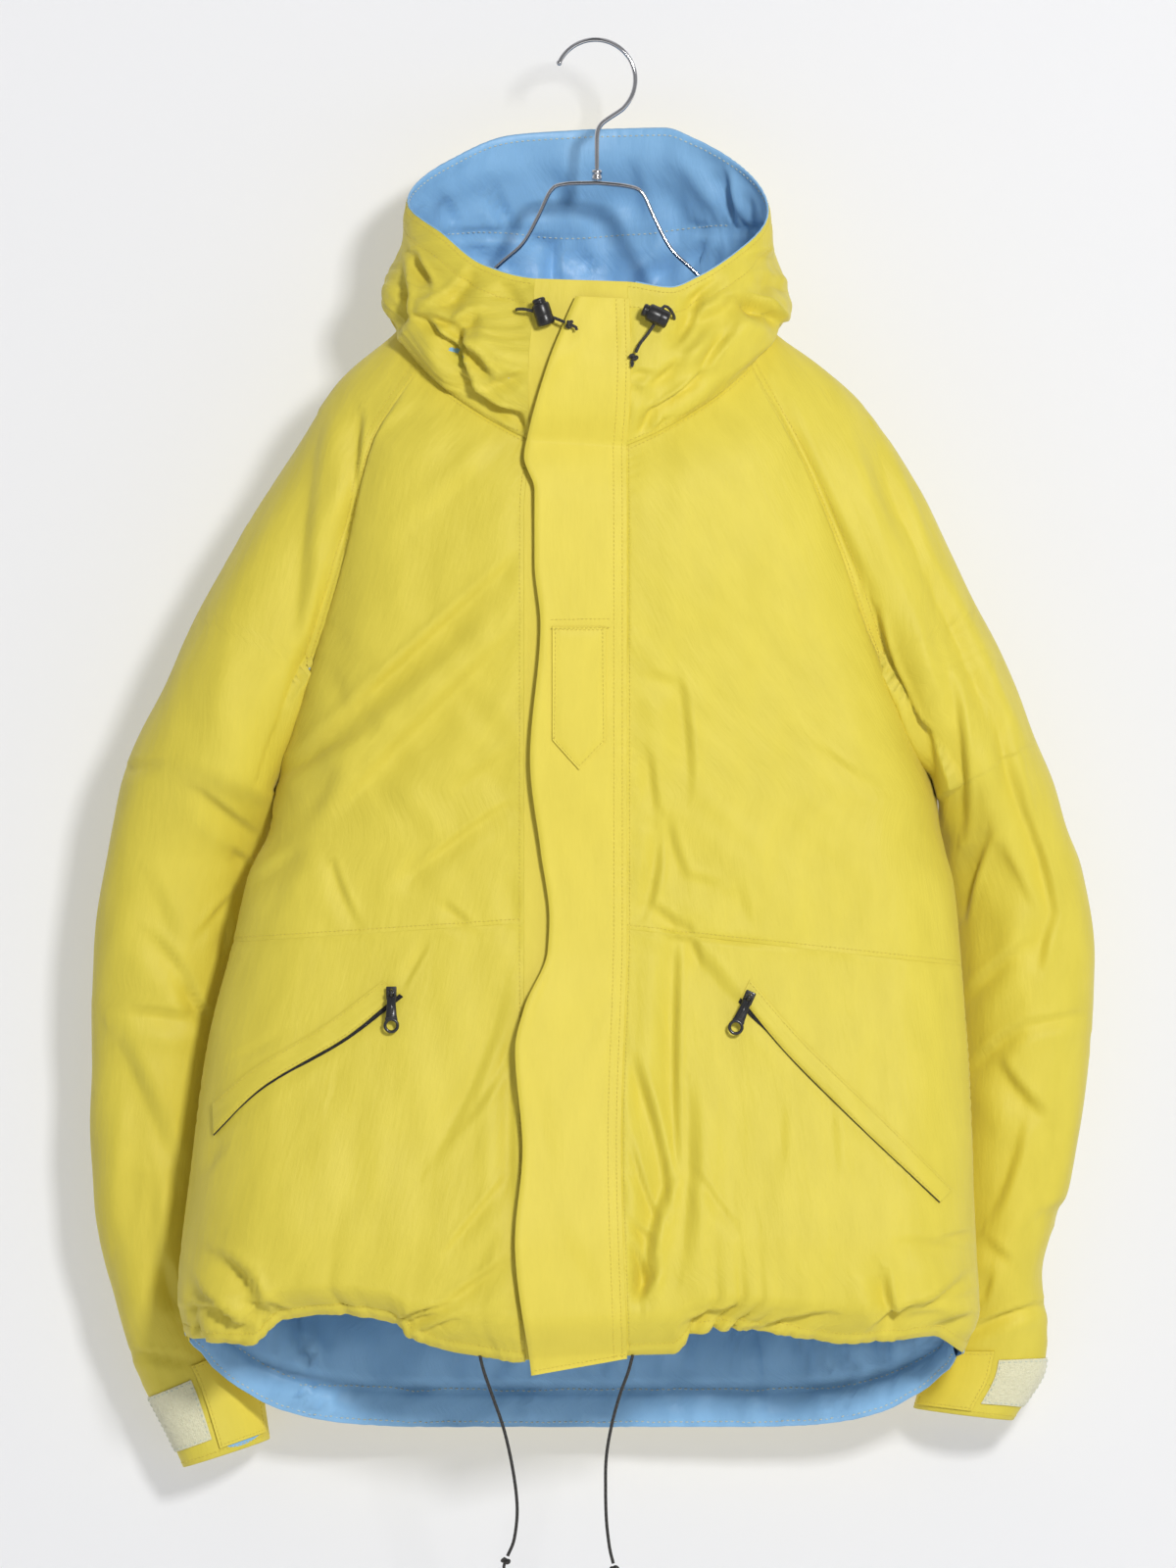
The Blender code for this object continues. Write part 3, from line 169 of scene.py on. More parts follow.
STORM_FLAP = [
    FlapRow(170, -13, 3), FlapRow(186, -20, 5), FlapRow(216, -32, 6), FlapRow(265, -46, 8),
    FlapRow(282, -49, 8), FlapRow(304, -42, 6), FlapRow(352, -42, 5), FlapRow(394, -38, 6),
    FlapRow(485, -45, 8), FlapRow(545, -38, 6), FlapRow(591, -32, 5), FlapRow(612, -33, 5),
    FlapRow(652, -49, 9), FlapRow(680, -55, 10), FlapRow(747, -50, 8), FlapRow(808, -55, 9),
    FlapRow(897, -44, 6)]
TAB_LEFT, TAB_RIGHT, TAB_TOP = -30.0, 6.0, -396.0
PocketRow = namedtuple("PocketRow", "part zip_x zip_z welt_x welt_z")
POCKET = {
    "right": [
        PocketRow(0.0, -132, -643, -144, -634), PocketRow(0.3, -168, -672, -184, -664),
        PocketRow(0.7, -226, -707, -230, -692), PocketRow(1.0, -258, -738, -259, -716)],
    "left": [
        PocketRow(0.0, 96, -646, 103, -633), PocketRow(0.3, 124, -680, 136, -671),
        PocketRow(0.7, 178, -734, 194, -728), PocketRow(1.0, 230, -783, 239, -774)],
}
PULL_PIN = {"right": (-138.0, -88.16, -642.0), "left": (102.0, -88.91, -645.0)}
PULL_TILT = {"right": 0.0, "left": 24.0}
PULL_LENGTH, PULL_RING, PULL_WIRE = 27.0, 4.2, 1.1

CORD_RADIUS, KNOT_RADIUS = 1.1, 3.1
HEM_CORD = {
    "right": [(-78.5, -92.8, -884.9), (-76, -93.5, -895), (-70.5, -94, -911), (-62, -94, -936),
              (-56, -93.5, -964), (-53.5, -93, -988), (-55.5, -93, -1008), (-60, -93, -1019.5)],
    "left": [(24, -92.9, -884.7), (21, -93.6, -896), (15.5, -94, -911), (10, -94, -931),
             (6.3, -93.5, -953), (5.8, -93, -975), (6.4, -93, -996), (8.5, -93, -1014),
             (11, -93, -1024.5)],
}
HOOD_CORD = {
    "right": [(-54, -77.3, -183), (-53, -82, -182.8), (-49, -86.5, -182.9), (-43.4, -87.5, -184.1),
              (-36, -88.2, -186.5), (-28.6, -89, -188.9), (-21.5, -91, -191.8)],
    "left": [(52, -75.5, -189), (51.5, -82, -187), (49, -88, -183), (45.5, -90.5, -181),
             (42.5, -91, -184.5), (39.5, -90.8, -191), (34.5, -90, -199), (29, -89.5, -206),
             (26, -89, -212)],
}
LockPlace = namedtuple("LockPlace", "x y z along_x along_z through_x through_y through_z")
CORD_LOCK = {
    "right": LockPlace(-36, -88.2, -186.5, 0.31, -0.95, 14.8, -1.5, -4.8),
    "left": LockPlace(41, -90.9, -187.75, 0.91, -0.42, -3.0, 0.2, -6.5),
}
HOOK_X, HOOK_Z, HOOK_TURN_RADIUS = -1.0, -25.4, 27.0
HOOK_TIP, HOOK_END = 156, -60
ARM = [(0, -95.3), (22, -97), (31, -101.5), (39, -118), (50, -138), (66, -153), (100, -185.5),
       (117, -201), (135, -213), (160, -232.5), (174, -244)]
ARM_LEAN, ARM_SPACING, ARM_RADIUS, WIRE_RADIUS = 0.036, 4.0, 1.4, 1.6


# ------------------------------------------------------------------ reading the tables
def through(keys, values, at):
    """Values on a smooth curve that never overshoots; values may hold a column for each place."""
    keys = np.asarray(keys, float)
    values = np.asarray(values, float)
    at = np.clip(np.asarray(at, float), keys[0], keys[-1])
    spans = np.diff(keys).reshape((-1,) + (1,) * (values.ndim - 1))
    slopes = np.diff(values, axis=0) / spans
    product = slopes[:-1] * slopes[1:]
    total = slopes[:-1] + slopes[1:]
    inner = np.where(product > 0, 2 * product / np.where(product > 0, total, 1), 0)
    tangents = np.concatenate([slopes[:1], inner, slopes[-1:]])
    k = np.clip(np.searchsorted(keys, at, side="right") - 1, 0, len(keys) - 2)
    span = keys[k + 1] - keys[k]
    f = (at - keys[k]) / span

    def pick(table, index):
        if table.ndim == 1:
            return table[index]
        return np.take_along_axis(table, index[None], axis=0)[0]

    return ((1 + 2 * f) * (1 - f) ** 2 * pick(values, k) + f * f * (3 - 2 * f) * pick(values, k + 1)
            + f * (1 - f) ** 2 * span * pick(tangents, k) - f * f * (1 - f) * span * pick(tangents, k + 1))


def read(rows, column, at):
    return through([row[0] for row in rows], [getattr(row, column) for row in rows], at)


def smooth_route(points, step):
    """Points about a step apart on a smooth curve through the route's points."""
    places = [Vector(point) for point in points]
    ends = [2 * places[0] - places[1]] + places + [2 * places[-1] - places[-2]]
    route = []
    for a, b, c, d in zip(ends, ends[1:], ends[2:], ends[3:]):
        pieces = max(1, round((c - b).length / step))
        for piece in range(pieces):
            t = piece / pieces
            route.append(0.5 * (2 * b + (c - a) * t + (2 * a - 5 * b + 4 * c - d) * t * t
                                + (3 * b - a - 3 * c + d) * t ** 3))
    return route + [places[-1]]


def smooth(low, high, value):
    t = np.clip((value - low) / (high - low), 0, 1)
    return t * t * (3 - 2 * t)


# ------------------------------------------------------------------ surfaces on arrays
def stack(x, y, z):
    return np.stack(np.broadcast_arrays(x, y, z), axis=-1)


def neck_point(turn):
    angle = np.radians(turn)
    return stack(NECK_X + NECK_HALF_WIDTH * np.sin(angle), NECK_Y - NECK_HALF_DEPTH * np.cos(angle),
                 read(NECK_HEIGHT, "height", np.abs(turn)))


def rim_point(turn):
    angle = np.radians(turn)
    return stack(RIM_X + RIM_HALF_WIDTH * np.sin(angle), RIM_Y - RIM_HALF_DEPTH * np.cos(angle),
                 read(RIM_HEIGHT, "height", turn))


def hood_point(turn, up):
    turn, up = np.broadcast_arrays(np.asarray(turn, float), np.asarray(up, float))
    shape = turn.shape
    turn, up = turn.ravel(), up.ravel()

    def sag(kind):
        levels = [read(HOOD_SAG, level + kind, np.abs(turn)) for level in ("low_", "mid_", "high_")]
        none = np.zeros_like(turn)
        return through([0, 0.25, 0.5, 0.75, 1], [none] + levels + [none], up)
    angle = np.radians(turn)
    place = neck_point(turn) * (1 - up)[:, None] + rim_point(turn) * up[:, None]
    out = sag("out") + SEAM_STEP * (1 - up)
    place = place + stack(np.sin(angle) * out, -np.cos(angle) * out, -sag("drop"))
    return place.reshape(shape + (3,))


def sleeve_section(side, along, turn):
    row = {name: read(SLEEVE[side], name, along) for name in SleeveRow._fields[1:]}
    spread = np.radians(row["spread"])
    angle = spread * turn
    reach = (1 - np.cos(angle)) / (1 - np.cos(spread))
    depth = np.where(turn > 0, row["back"], row["front"])
    return stack(row["outer_x"] + (row["inner_x"] - row["outer_x"]) * reach,
                 row["outer_y"] + (row["inner_y"] - row["outer_y"]) * (1 - np.cos(angle)) / 2
                 + depth * np.sin(angle),
                 row["outer_z"] + (row["inner_z"] - row["outer_z"]) * reach)


def sleeve_point(side, along, turn):
    along, turn = np.broadcast_arrays(np.asarray(along, float), np.asarray(turn, float))
    place = sleeve_section(side, along, turn)
    ring_turn = (90 + SHOULDER_SPREAD * turn) * (-1 if side == "right" else 1)
    fade = np.clip(1 - along / NECK_FADE, 0, 1) ** 2
    shift = neck_point(ring_turn) - sleeve_section(side, np.zeros_like(along), turn)
    return place + shift * fade[..., None]


def edge_point(side, face, along):
    along = np.asarray(along, float)
    seam = sleeve_point(side, np.minimum(along, ARMPIT), np.full_like(along, -1 if face == "front" else 1))
    below = stack(*[read(SIDE_SEAM[side], axis, along) for axis in "xyz"])
    return np.where((along <= ARMPIT)[..., None], seam, below)


def body_point(side, face, along, across):
    along, across = np.broadcast_arrays(np.asarray(along, float), np.asarray(across, float))
    edge = edge_point(side, face, along)
    centre_rows = CENTRE_EDGE[side if face == "front" else "back"]
    centre_x, centre_z = read(centre_rows, "x", along), read(centre_rows, "z", along)
    near, middle = read(BODY_DEPTH, face + "_edge", along), read(BODY_DEPTH, face + "_middle", along)
    x = edge[..., 0] + (centre_x - edge[..., 0]) * across
    from_edge = np.minimum(np.abs(x - edge[..., 0]) / read(BODY_DEPTH, "curl", along), 1.0)
    round_over = np.sqrt(1 - (1 - from_edge) ** 2)
    flat_y = near + (middle - near) * np.sin(across * pi / 2)
    if face == "front":
        z = edge[..., 2] + (centre_z - edge[..., 2]) * across
        z = z + read(HEM_LIFT[side], "lift", across) * np.maximum(0.0, 1 - (1 - along) / HEM_FADE)
    else:
        fall = read(BODY_DEPTH, "fall", along)
        z = edge[..., 2] + (centre_z - edge[..., 2]) * (1 - (1 - across) ** fall)
    return stack(x, edge[..., 1] + (flat_y - edge[..., 1]) * round_over, z)


def on_neck_ring(side, face, across):
    if face == "front":
        turn = -(90 - SHOULDER_SPREAD) if side == "right" else 90 - SHOULDER_SPREAD
        return neck_point(turn + (OPENING[side] - turn) * across)
    turn = 90 + SHOULDER_SPREAD + (90 - SHOULDER_SPREAD) * across
    return neck_point(-turn if side == "right" else turn)


def settled_body_point(side, face, along, across):
    along, across = np.broadcast_arrays(np.asarray(along, float), np.asarray(across, float))
    fade = np.clip(1 - along / NECK_FADE, 0, 1) ** 2
    shift = on_neck_ring(side, face, across) - body_point(side, face, np.zeros_like(along), across)
    return body_point(side, face, along, across) + shift * fade[..., None]


# ------------------------------------------------------------------ grids
def grid_normals(grid):
    """Unit normals of a grid, to either side."""
    normal = np.cross(np.gradient(grid, axis=1), np.gradient(grid, axis=0))
    return normal / np.maximum(np.linalg.norm(normal, axis=-1, keepdims=True), 1e-9)


def facing(grid, outward):
    """Unit normals of a grid, each turned to the side that outward points to."""
    normal = grid_normals(grid)
    return np.where((normal * outward).sum(-1, keepdims=True) < 0, -normal, normal)


def arc(grid, axis):
    """Length run along an axis of a grid from its first line, in millimetres."""
    steps = np.linalg.norm(np.diff(grid, axis=axis), axis=-1)
    zero = np.zeros_like(steps.take([0], axis=axis))
    return np.concatenate([zero, np.cumsum(steps, axis=axis)], axis=axis)


def across_places(side, face, along, curl_columns, columns):
    """Places across a panel: evenly spaced round the curl at the side, then to the middle."""
    centre_x = read(CENTRE_EDGE[side if face == "front" else "back"], "x", along)
    width = np.abs(centre_x - edge_point(side, face, along)[..., 0])
    curl = (read(BODY_DEPTH, "curl", along) / width)[:, None]
    turns = np.radians(np.linspace(0, 90, curl_columns + 1))
    rounded = curl * (1 - np.cos(turns))[None]
    straight = curl + (1 - curl) * (np.arange(1, columns + 1) / columns)[None]
    return np.concatenate([rounded, np.minimum(straight, 1.0)], axis=1)


def noise(x, y, size, seed, stretch=1.0):
    """A soft uneven field from -1 to 1: waves of about a size, in random directions."""
    rng = np.random.default_rng(seed)
    total = np.zeros(np.broadcast(x, y).shape)
    for _ in range(7):
        angle = rng.uniform(0, pi)
        wave = 2 * pi / (size * rng.uniform(0.7, 1.5))
        total = total + np.sin(wave * (x * cos(angle) + y / stretch * sin(angle)) + rng.uniform(0, 2 * pi))
    return total / 4.0


def gather(run, pitch, seed):
    """Rounded ridges with narrow valleys along a run, unevenly spaced, from -1 to 1."""
    rng = np.random.default_rng(seed)
    warped = run / pitch
    for k in range(4):
        warped = warped + 0.35 * np.sin(run / pitch * rng.uniform(0.25, 0.9) + rng.uniform(0, 6.3))
    height = 0.65 + 0.35 * np.sin(run / pitch * 0.43 + rng.uniform(0, 6.3))
    return (1 - 2 * (1 - np.abs(np.sin(pi * warped))) ** 1.6) * height


# A crease runs from one point to another, in millimetres, bowed sideways; a negative depth is a ridge
Crease = namedtuple("Crease", "x0 z0 x1 z1 bow width depth")
PIXEL, PIXEL_X, PIXEL_Z = 0.66, 609, 40


def seen(*rows):
    """Creases whose ends were read off the reference view, as its columns and lines."""
    return [Crease((a - PIXEL_X) * PIXEL, (PIXEL_Z - b) * PIXEL, (c - PIXEL_X) * PIXEL,
                   (PIXEL_Z - d) * PIXEL, bow, width, depth) for a, b, c, d, bow, width, depth in rows]


TUCK_TOWARDS = np.array([0.6, 0.8])
STEEP, GENTLE = 0.55, 1.6


def crease_depth(creases, x, z):
    """Depth of troughs (positive) and ridges (negative) along bowed lines, each tucked in steeply on
    one flank, as cloth that folds over, and eased out on the other."""
    total = np.zeros_like(x)
    for crease in creases:
        a, b = np.array([crease.x0, crease.z0]), np.array([crease.x1, crease.z1])
        run = b - a
        sideways = np.array([-run[1], run[0]]) / max(hypot(*run), 1e-6)
        towards = sideways * (1 if sideways @ TUCK_TOWARDS > 0 else -1)
        middle = (a + b) / 2 + sideways * crease.bow * 2
        ts = np.linspace(0, 1, 9)
        line = np.outer((1 - ts) ** 2, a) + np.outer(2 * ts * (1 - ts), middle) + np.outer(ts ** 2, b)
        reach = 3 * GENTLE * crease.width
        near = ((x > line[:, 0].min() - reach) & (x < line[:, 0].max() + reach)
                & (z > line[:, 1].min() - reach) & (z < line[:, 1].max() + reach))
        if not near.any():
            continue
        px, pz = x[near], z[near]
        best = np.full(px.shape, 1e9)
        place, flank = np.zeros(px.shape), np.zeros(px.shape)
        for k in range(8):
            start, step = line[k], line[k + 1] - line[k]
            t = np.clip(((px - start[0]) * step[0] + (pz - start[1]) * step[1]) / (step @ step), 0, 1)
            dx, dz = px - start[0] - step[0] * t, pz - start[1] - step[1] * t
            away = dx * dx + dz * dz
            closer = away < best
            best = np.where(closer, away, best)
            place = np.where(closer, (k + t) / 8, place)
            flank = np.where(closer, dx * towards[0] + dz * towards[1], flank)
        away = np.sqrt(best) / crease.width / np.where(flank > 0, STEEP, GENTLE)
        taper = np.sin(pi * np.clip(0.04 + 0.92 * place, 0, 1)) ** 0.7
        trough = np.exp(-away ** 1.7) - 0.28 * np.exp(-((away - 1.9) / 0.9) ** 2)
        total[near] += crease.depth * taper * trough
    return total


def settle(depth, distance, puff=0.22):
    """Depths that leave a seam's edge where it is, with the cloth puffed a little beside it."""
    return depth * smooth(0.0, 4.0, distance) - puff * np.exp(-((distance - 3.2) / 2.2) ** 2)


# ------------------------------------------------------------------ making objects
Surface = namedtuple("Surface", "grid normal")
HELD_EDGE = 0.3
finished = {}


def finish_object(made, slot, *nodes, body=BODY):
    if nodes:
        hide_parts(*nodes)
    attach(made, body)
    return made


def add(name, data, *looks):
    made = bpy.data.objects.new(name, data)
    for look in looks:
        data.materials.append(look)
    bpy.context.scene.collection.objects.link(made)
    return made


def held_edges(values, share):
    """Values with a line added close inside the first and last line, for a grid turned this way."""
    first = values[0] + (values[1] - values[0]) * share[0]
    last = values[-1] + (values[-2] - values[-1]) * share[1]
    return np.concatenate([values[:1], first[None], values[1:-1], last[None], values[-1:]])


def grid_mesh(name, grid, looks, outward, wall):
    """A smooth cloth shell: the grid is its outside, and its second look is on the inside."""
    natural = np.cross(np.gradient(grid, axis=0), np.gradient(grid, axis=1))
    reverse = (natural * outward).sum() > 0
    for _ in range(2):
        steps = np.linalg.norm(grid[[1, -2]] - grid[[0, -1]], axis=-1, keepdims=True)
        grid = held_edges(grid, np.minimum(HELD_EDGE / np.maximum(steps, 1e-6), 0.5)).transpose(1, 0, 2)
    rows, columns = grid.shape[:2]
    closed = np.allclose(grid[-1, 0], grid[-1, -1], atol=1e-6) and rows > 2
    r, c = np.meshgrid(np.arange(rows - 1), np.arange(columns - 1), indexing="ij")
    index = np.arange(rows * columns).reshape(rows, columns)
    if closed:
        same = np.linalg.norm(grid[:, 0] - grid[:, -1], axis=-1) < 1e-6
        index[same, -1] = index[same, 0]
    corners = np.stack([np.stack([r, c], -1), np.stack([r, c + 1], -1),
                        np.stack([r + 1, c + 1], -1), np.stack([r + 1, c], -1)], -2).reshape(-1, 4, 2)
    if reverse:
        corners = corners[:, ::-1]
    faces = index[corners[..., 0], corners[..., 1]]
    used = np.unique(faces)
    renumber = np.zeros(rows * columns, int)
    renumber[used] = np.arange(len(used))
    along, across = arc(grid, 0) * MM, arc(grid, 1) * MM
    mesh = bpy.data.meshes.new(name)
    mesh.from_pydata((grid.reshape(-1, 3)[used] * MM).tolist(), [], renumber[faces].tolist())
    uv = mesh.uv_layers.new(name="cloth")
    flat = corners.reshape(-1, 2)
    uv.data.foreach_set("uv", np.stack([across[flat[:, 0], flat[:, 1]],
                                        -along[flat[:, 0], flat[:, 1]]], -1).ravel())
    mesh.shade_smooth()
    made = add(name, mesh, *looks)
    solid = made.modifiers.new("wall", "SOLIDIFY")
    solid.thickness = wall * MM
    solid.offset = -1.0
    if len(looks) > 1:
        solid.material_offset = 1
    return made


def tube(name, points, radius, look, cyclic=False, sides=3):
    curve = bpy.data.curves.new(name, "CURVE")
    curve.dimensions = "3D"
    curve.bevel_depth = radius * MM
    curve.bevel_resolution = sides
    curve.use_fill_caps = True
    spline = curve.splines.new("POLY")
    spline.points.add(len(points) - 1)
    for place, point in zip(points, spline.points):
        point.co = (*(Vector(place) * MM), 1.0)
    spline.use_cyclic_u = cyclic
    spline.use_smooth = True
    return add(name, curve, look)


def bevelled_box(bm, place, size, bevel):
    verts = bmesh.ops.create_cube(bm, size=1.0, matrix=place @ Matrix.Diagonal((*size, 1)))["verts"]
    edges = list({edge for vert in verts for edge in vert.link_edges})
    bmesh.ops.bevel(bm, geom=edges, offset=bevel, segments=3, profile=0.6, affect="EDGES")


def lathe(bm, place, profile, segments=36):
    """A turned form about its own Z: profile is (radius, height) from one end to the other."""
    rings = []
    for radius, height in profile:
        rings.append([bm.verts.new(place @ Vector((radius * cos(2 * pi * k / segments),
                                                   radius * sin(2 * pi * k / segments), height)))
                      for k in range(segments)])
    for low, high in zip(rings, rings[1:]):
        for k in range(segments):
            n = (k + 1) % segments
            bm.faces.new((low[k], low[n], high[n], high[k]))
    bm.faces.new(rings[0][::-1])
    bm.faces.new(rings[-1])


def ring_form(bm, place, radius, wire, stretch=1.0, segments=36, sides=10):
    """A wire ring about its own Z, stretched along its own Y."""
    loops = []
    for k in range(segments):
        a = 2 * pi * k / segments
        loops.append([bm.verts.new(place @ Vector((
            (radius + wire * cos(2 * pi * j / sides)) * cos(a),
            (radius + wire * cos(2 * pi * j / sides)) * sin(a) * stretch,
            wire * sin(2 * pi * j / sides)))) for j in range(sides)])
    for k in range(segments):
        here, there = loops[k], loops[(k + 1) % segments]
        for j in range(sides):
            n = (j + 1) % sides
            bm.faces.new((here[j], there[j], there[n], here[n]))


def form_object(name, bm, look):
    bmesh.ops.recalc_face_normals(bm, faces=bm.faces)
    bmesh.ops.scale(bm, vec=(MM, MM, MM), verts=bm.verts)
    mesh = bpy.data.meshes.new(name)
    bm.to_mesh(mesh)
    bm.free()
    mesh.shade_smooth()
    return add(name, mesh, look)


def seam_line(name, axis, distance, from_end=False, part=(0.0, 1.0)):
    """Points and normals on a surface at a distance from its first or last line along an axis."""
    grid, normal = finished[name]
    lengths = arc(grid, axis)
    if from_end:
        lengths = lengths.take([-1], axis=axis) - lengths
        grid, normal, lengths = (np.flip(values, axis) for values in (grid, normal, lengths))
    if axis == 0:
        grid, normal, lengths = grid.transpose(1, 0, 2), normal.transpose(1, 0, 2), lengths.T
    rows = range(int(part[0] * len(grid)), int(part[1] * len(grid)))
    return tuple(np.array([[np.interp(distance, lengths[row], values[row, :, k]) for k in range(3)]
                           for row in rows]) for values in (grid, normal))


def surface_tree(*names):
    """The outsides of some finished surfaces, in millimetres, to lay other pieces on."""
    verts, polygons = [], []
    for name in names:
        grid = finished[name].grid
        rows, columns = grid.shape[:2]
        start = len(verts)
        verts += grid.reshape(-1, 3).tolist()
        polygons += [[start + r * columns + c, start + r * columns + c + 1,
                      start + (r + 1) * columns + c + 1, start + (r + 1) * columns + c]
                     for r in range(rows - 1) for c in range(columns - 1)]
    return BVHTree.FromPolygons(verts, polygons)


def laid(tree, x, z, clearance=0.0):
    """A place in front of a surface, and the surface's normal there towards the front."""
    hit, normal = tree.ray_cast(Vector((x, -1000, z)), Vector((0, 1, 0)))[:2]
    if hit is None:
        hit, normal = tree.find_nearest(Vector((x, -80, z)))[:2]
    normal = np.array(normal if normal.y < 0 else -normal)
    return np.array([x, hit.y - clearance, z]), normal


def laid_grid(tree, xs, zs, clearance):
    """A grid laid in front of a surface: clear of it at each place and close round it."""
    around = ((0, 0), (-1.5, 0), (1.5, 0), (0, -1.5), (0, 1.5))
    shape = np.broadcast(xs, zs).shape
    xs, zs = np.broadcast_to(xs, shape), np.broadcast_to(zs, shape)
    depth = np.array([[min(laid(tree, x + dx, z + dz)[0][1] for dx, dz in around) for x, z in zip(row_x, row_z)]
                      for row_x, row_z in zip(xs, zs)])
    return stack(xs, depth - clearance, zs)


def seen_line(tree, places, step=2.0, clearance=0.0):
    """A line on a surface through places read off the reference view, as its columns and lines."""
    route = smooth_route([((a - PIXEL_X) * PIXEL, 0, (PIXEL_Z - b) * PIXEL) for a, b in places], step)
    both = [laid(tree, place.x, place.z, clearance) for place in route]
    return np.array([point for point, _ in both]), np.array([normal for _, normal in both])


def stitch_mesh(name, lines, look, pitch=2.9, length=2.1, radius=0.26, lift=0.12, slot="shell_cloth"):
    """Thread stitches along lines of (points, normals): small spindles, sunk at their ends."""
    verts, faces = [], []
    for points, normals in lines:
        run = np.concatenate([[0], np.cumsum(np.linalg.norm(np.diff(points, axis=0), axis=-1))])
        count = int(run[-1] / pitch)
        starts = (np.arange(count) + 0.2) * pitch

        def at(places, where):
            return np.stack([np.interp(where, run, places[:, k]) for k in range(3)], -1)
        head, tail = at(points, starts), at(points, starts + length)
        out = at(normals, starts + length / 2)
        out /= np.maximum(np.linalg.norm(out, axis=-1, keepdims=True), 1e-9)
        aside = np.cross(tail - head, out)
        aside /= np.maximum(np.linalg.norm(aside, axis=-1, keepdims=True), 1e-9)
        middle = at(points, starts + length / 2)
        for h, m, t, o, a in zip(head, middle, tail, out, aside):
            base = len(verts)
            verts.append(h - o * 0.1)
            for centre in ((h + m) / 2 + o * lift, (t + m) / 2 + o * lift):
                verts += [centre + a * radius, centre + o * radius, centre - a * radius, centre - o * radius]
            verts.append(t - o * 0.1)
            for j in range(4):
                n = (j + 1) % 4
                faces.append((base, base + 1 + n, base + 1 + j))
                faces.append((base + 1 + j, base + 1 + n, base + 5 + n, base + 5 + j))
                faces.append((base + 9, base + 5 + j, base + 5 + n))
    mesh = bpy.data.meshes.new(name)
    mesh.from_pydata((np.array(verts) * MM).tolist(), [], faces)
    mesh.shade_smooth()
    return finish_object(add(name, mesh, look), slot)


# ------------------------------------------------------------------ materials
def node_tree(name):
    made = bpy.data.materials.new(name)
    made.use_nodes = True
    return made, made.node_tree, made.node_tree.nodes["Principled BSDF"]


def mapped(tree, scale, kind="UV"):
    coords = tree.nodes.new("ShaderNodeTexCoord")
    mapping = tree.nodes.new("ShaderNodeMapping")
    mapping.inputs["Scale"].default_value = scale
    tree.links.new(coords.outputs[kind], mapping.inputs["Vector"])
    return mapping.outputs["Vector"]


def noise_node(tree, vector, scale, detail=3.0, roughness=0.5):
    node = tree.nodes.new("ShaderNodeTexNoise")
    node.inputs["Scale"].default_value = scale
    node.inputs["Detail"].default_value = detail
    node.inputs["Roughness"].default_value = roughness
    tree.links.new(vector, node.inputs["Vector"])
    return node.outputs["Fac"]


def ramp(tree, value, low, high, colour_low, colour_high):
    node = tree.nodes.new("ShaderNodeMapRange")
    node.inputs["From Min"].default_value = low
    node.inputs["From Max"].default_value = high
    tree.links.new(value, node.inputs["Value"])
    mix = tree.nodes.new("ShaderNodeMix")
    mix.data_type = "RGBA"
    mix.inputs["A"].default_value = (*colour_low, 1)
    mix.inputs["B"].default_value = (*colour_high, 1)
    tree.links.new(node.outputs["Result"], mix.inputs["Factor"])
    return mix.outputs["Result"]


def bumped(tree, shader, *layers):
    """Bump layers as (height, distance in metres, strength), one on another."""
    previous = None
    for height, distance, strength in layers:
        node = tree.nodes.new("ShaderNodeBump")
        node.inputs["Distance"].default_value = distance
        node.inputs["Strength"].default_value = strength
        tree.links.new(height, node.inputs["Height"])
        if previous:
            tree.links.new(previous, node.inputs["Normal"])
        previous = node.outputs["Normal"]
    tree.links.new(previous, shader.inputs["Normal"])


def nylon(name, colour, shade, roughness, crinkle):
    """Fine washed nylon: upright crinkles, a close weave and a faint sheen."""
    made, tree, shader = node_tree(name)
    upright = noise_node(tree, mapped(tree, (260, 48, 1)), 1.0, 4.0, 0.6)
    soft = noise_node(tree, mapped(tree, (60, 22, 1)), 1.0, 2.0, 0.5)
    weave = tree.nodes.new("ShaderNodeTexWave")
    weave.inputs["Scale"].default_value = 1.0
    weave.inputs["Distortion"].default_value = 1.5
    weave.inputs["Detail"].default_value = 1.0
    weave.bands_direction = "X"
    tree.links.new(mapped(tree, (420, 900, 1)), weave.inputs["Vector"])
    tone = ramp(tree, soft, 0.3, 0.7, shade, colour)
    tree.links.new(tone, shader.inputs["Base Color"])
    shader.inputs["Roughness"].default_value = roughness
    shader.inputs["Sheen Weight"].default_value = 0.10
    shader.inputs["Sheen Roughness"].default_value = 0.4
    shader.inputs["Specular IOR Level"].default_value = 0.35
    bumped(tree, shader, (soft, 0.0012, crinkle), (upright, 0.0011, crinkle), (weave.outputs["Fac"], 0.0001, 0.35))
    return made


def plain(name, colour, roughness, metallic=0.0, grain=900.0, depth=0.00005, coat=0.0):
    """Moulded plastic, enamel or metal with a fine uneven surface."""
    made, tree, shader = node_tree(name)
    shader.inputs["Metallic"].default_value = metallic
    shader.inputs["Coat Weight"].default_value = coat
    vector = mapped(tree, (1, 1, 1), "Object")
    fine = noise_node(tree, vector, grain, 3.0)
    broad = noise_node(tree, vector, 60.0, 2.0)
    darker = tuple(part * 0.86 for part in colour)
    tree.links.new(ramp(tree, broad, 0.3, 0.7, darker, colour), shader.inputs["Base Color"])
    rough = tree.nodes.new("ShaderNodeMapRange")
    rough.inputs["To Min"].default_value = max(0.02, roughness * 0.8)
    rough.inputs["To Max"].default_value = min(1.0, roughness * 1.25)
    tree.links.new(fine, rough.inputs["Value"])
    tree.links.new(rough.outputs["Result"], shader.inputs["Roughness"])
    bumped(tree, shader, (fine, depth, 0.3))
    return made


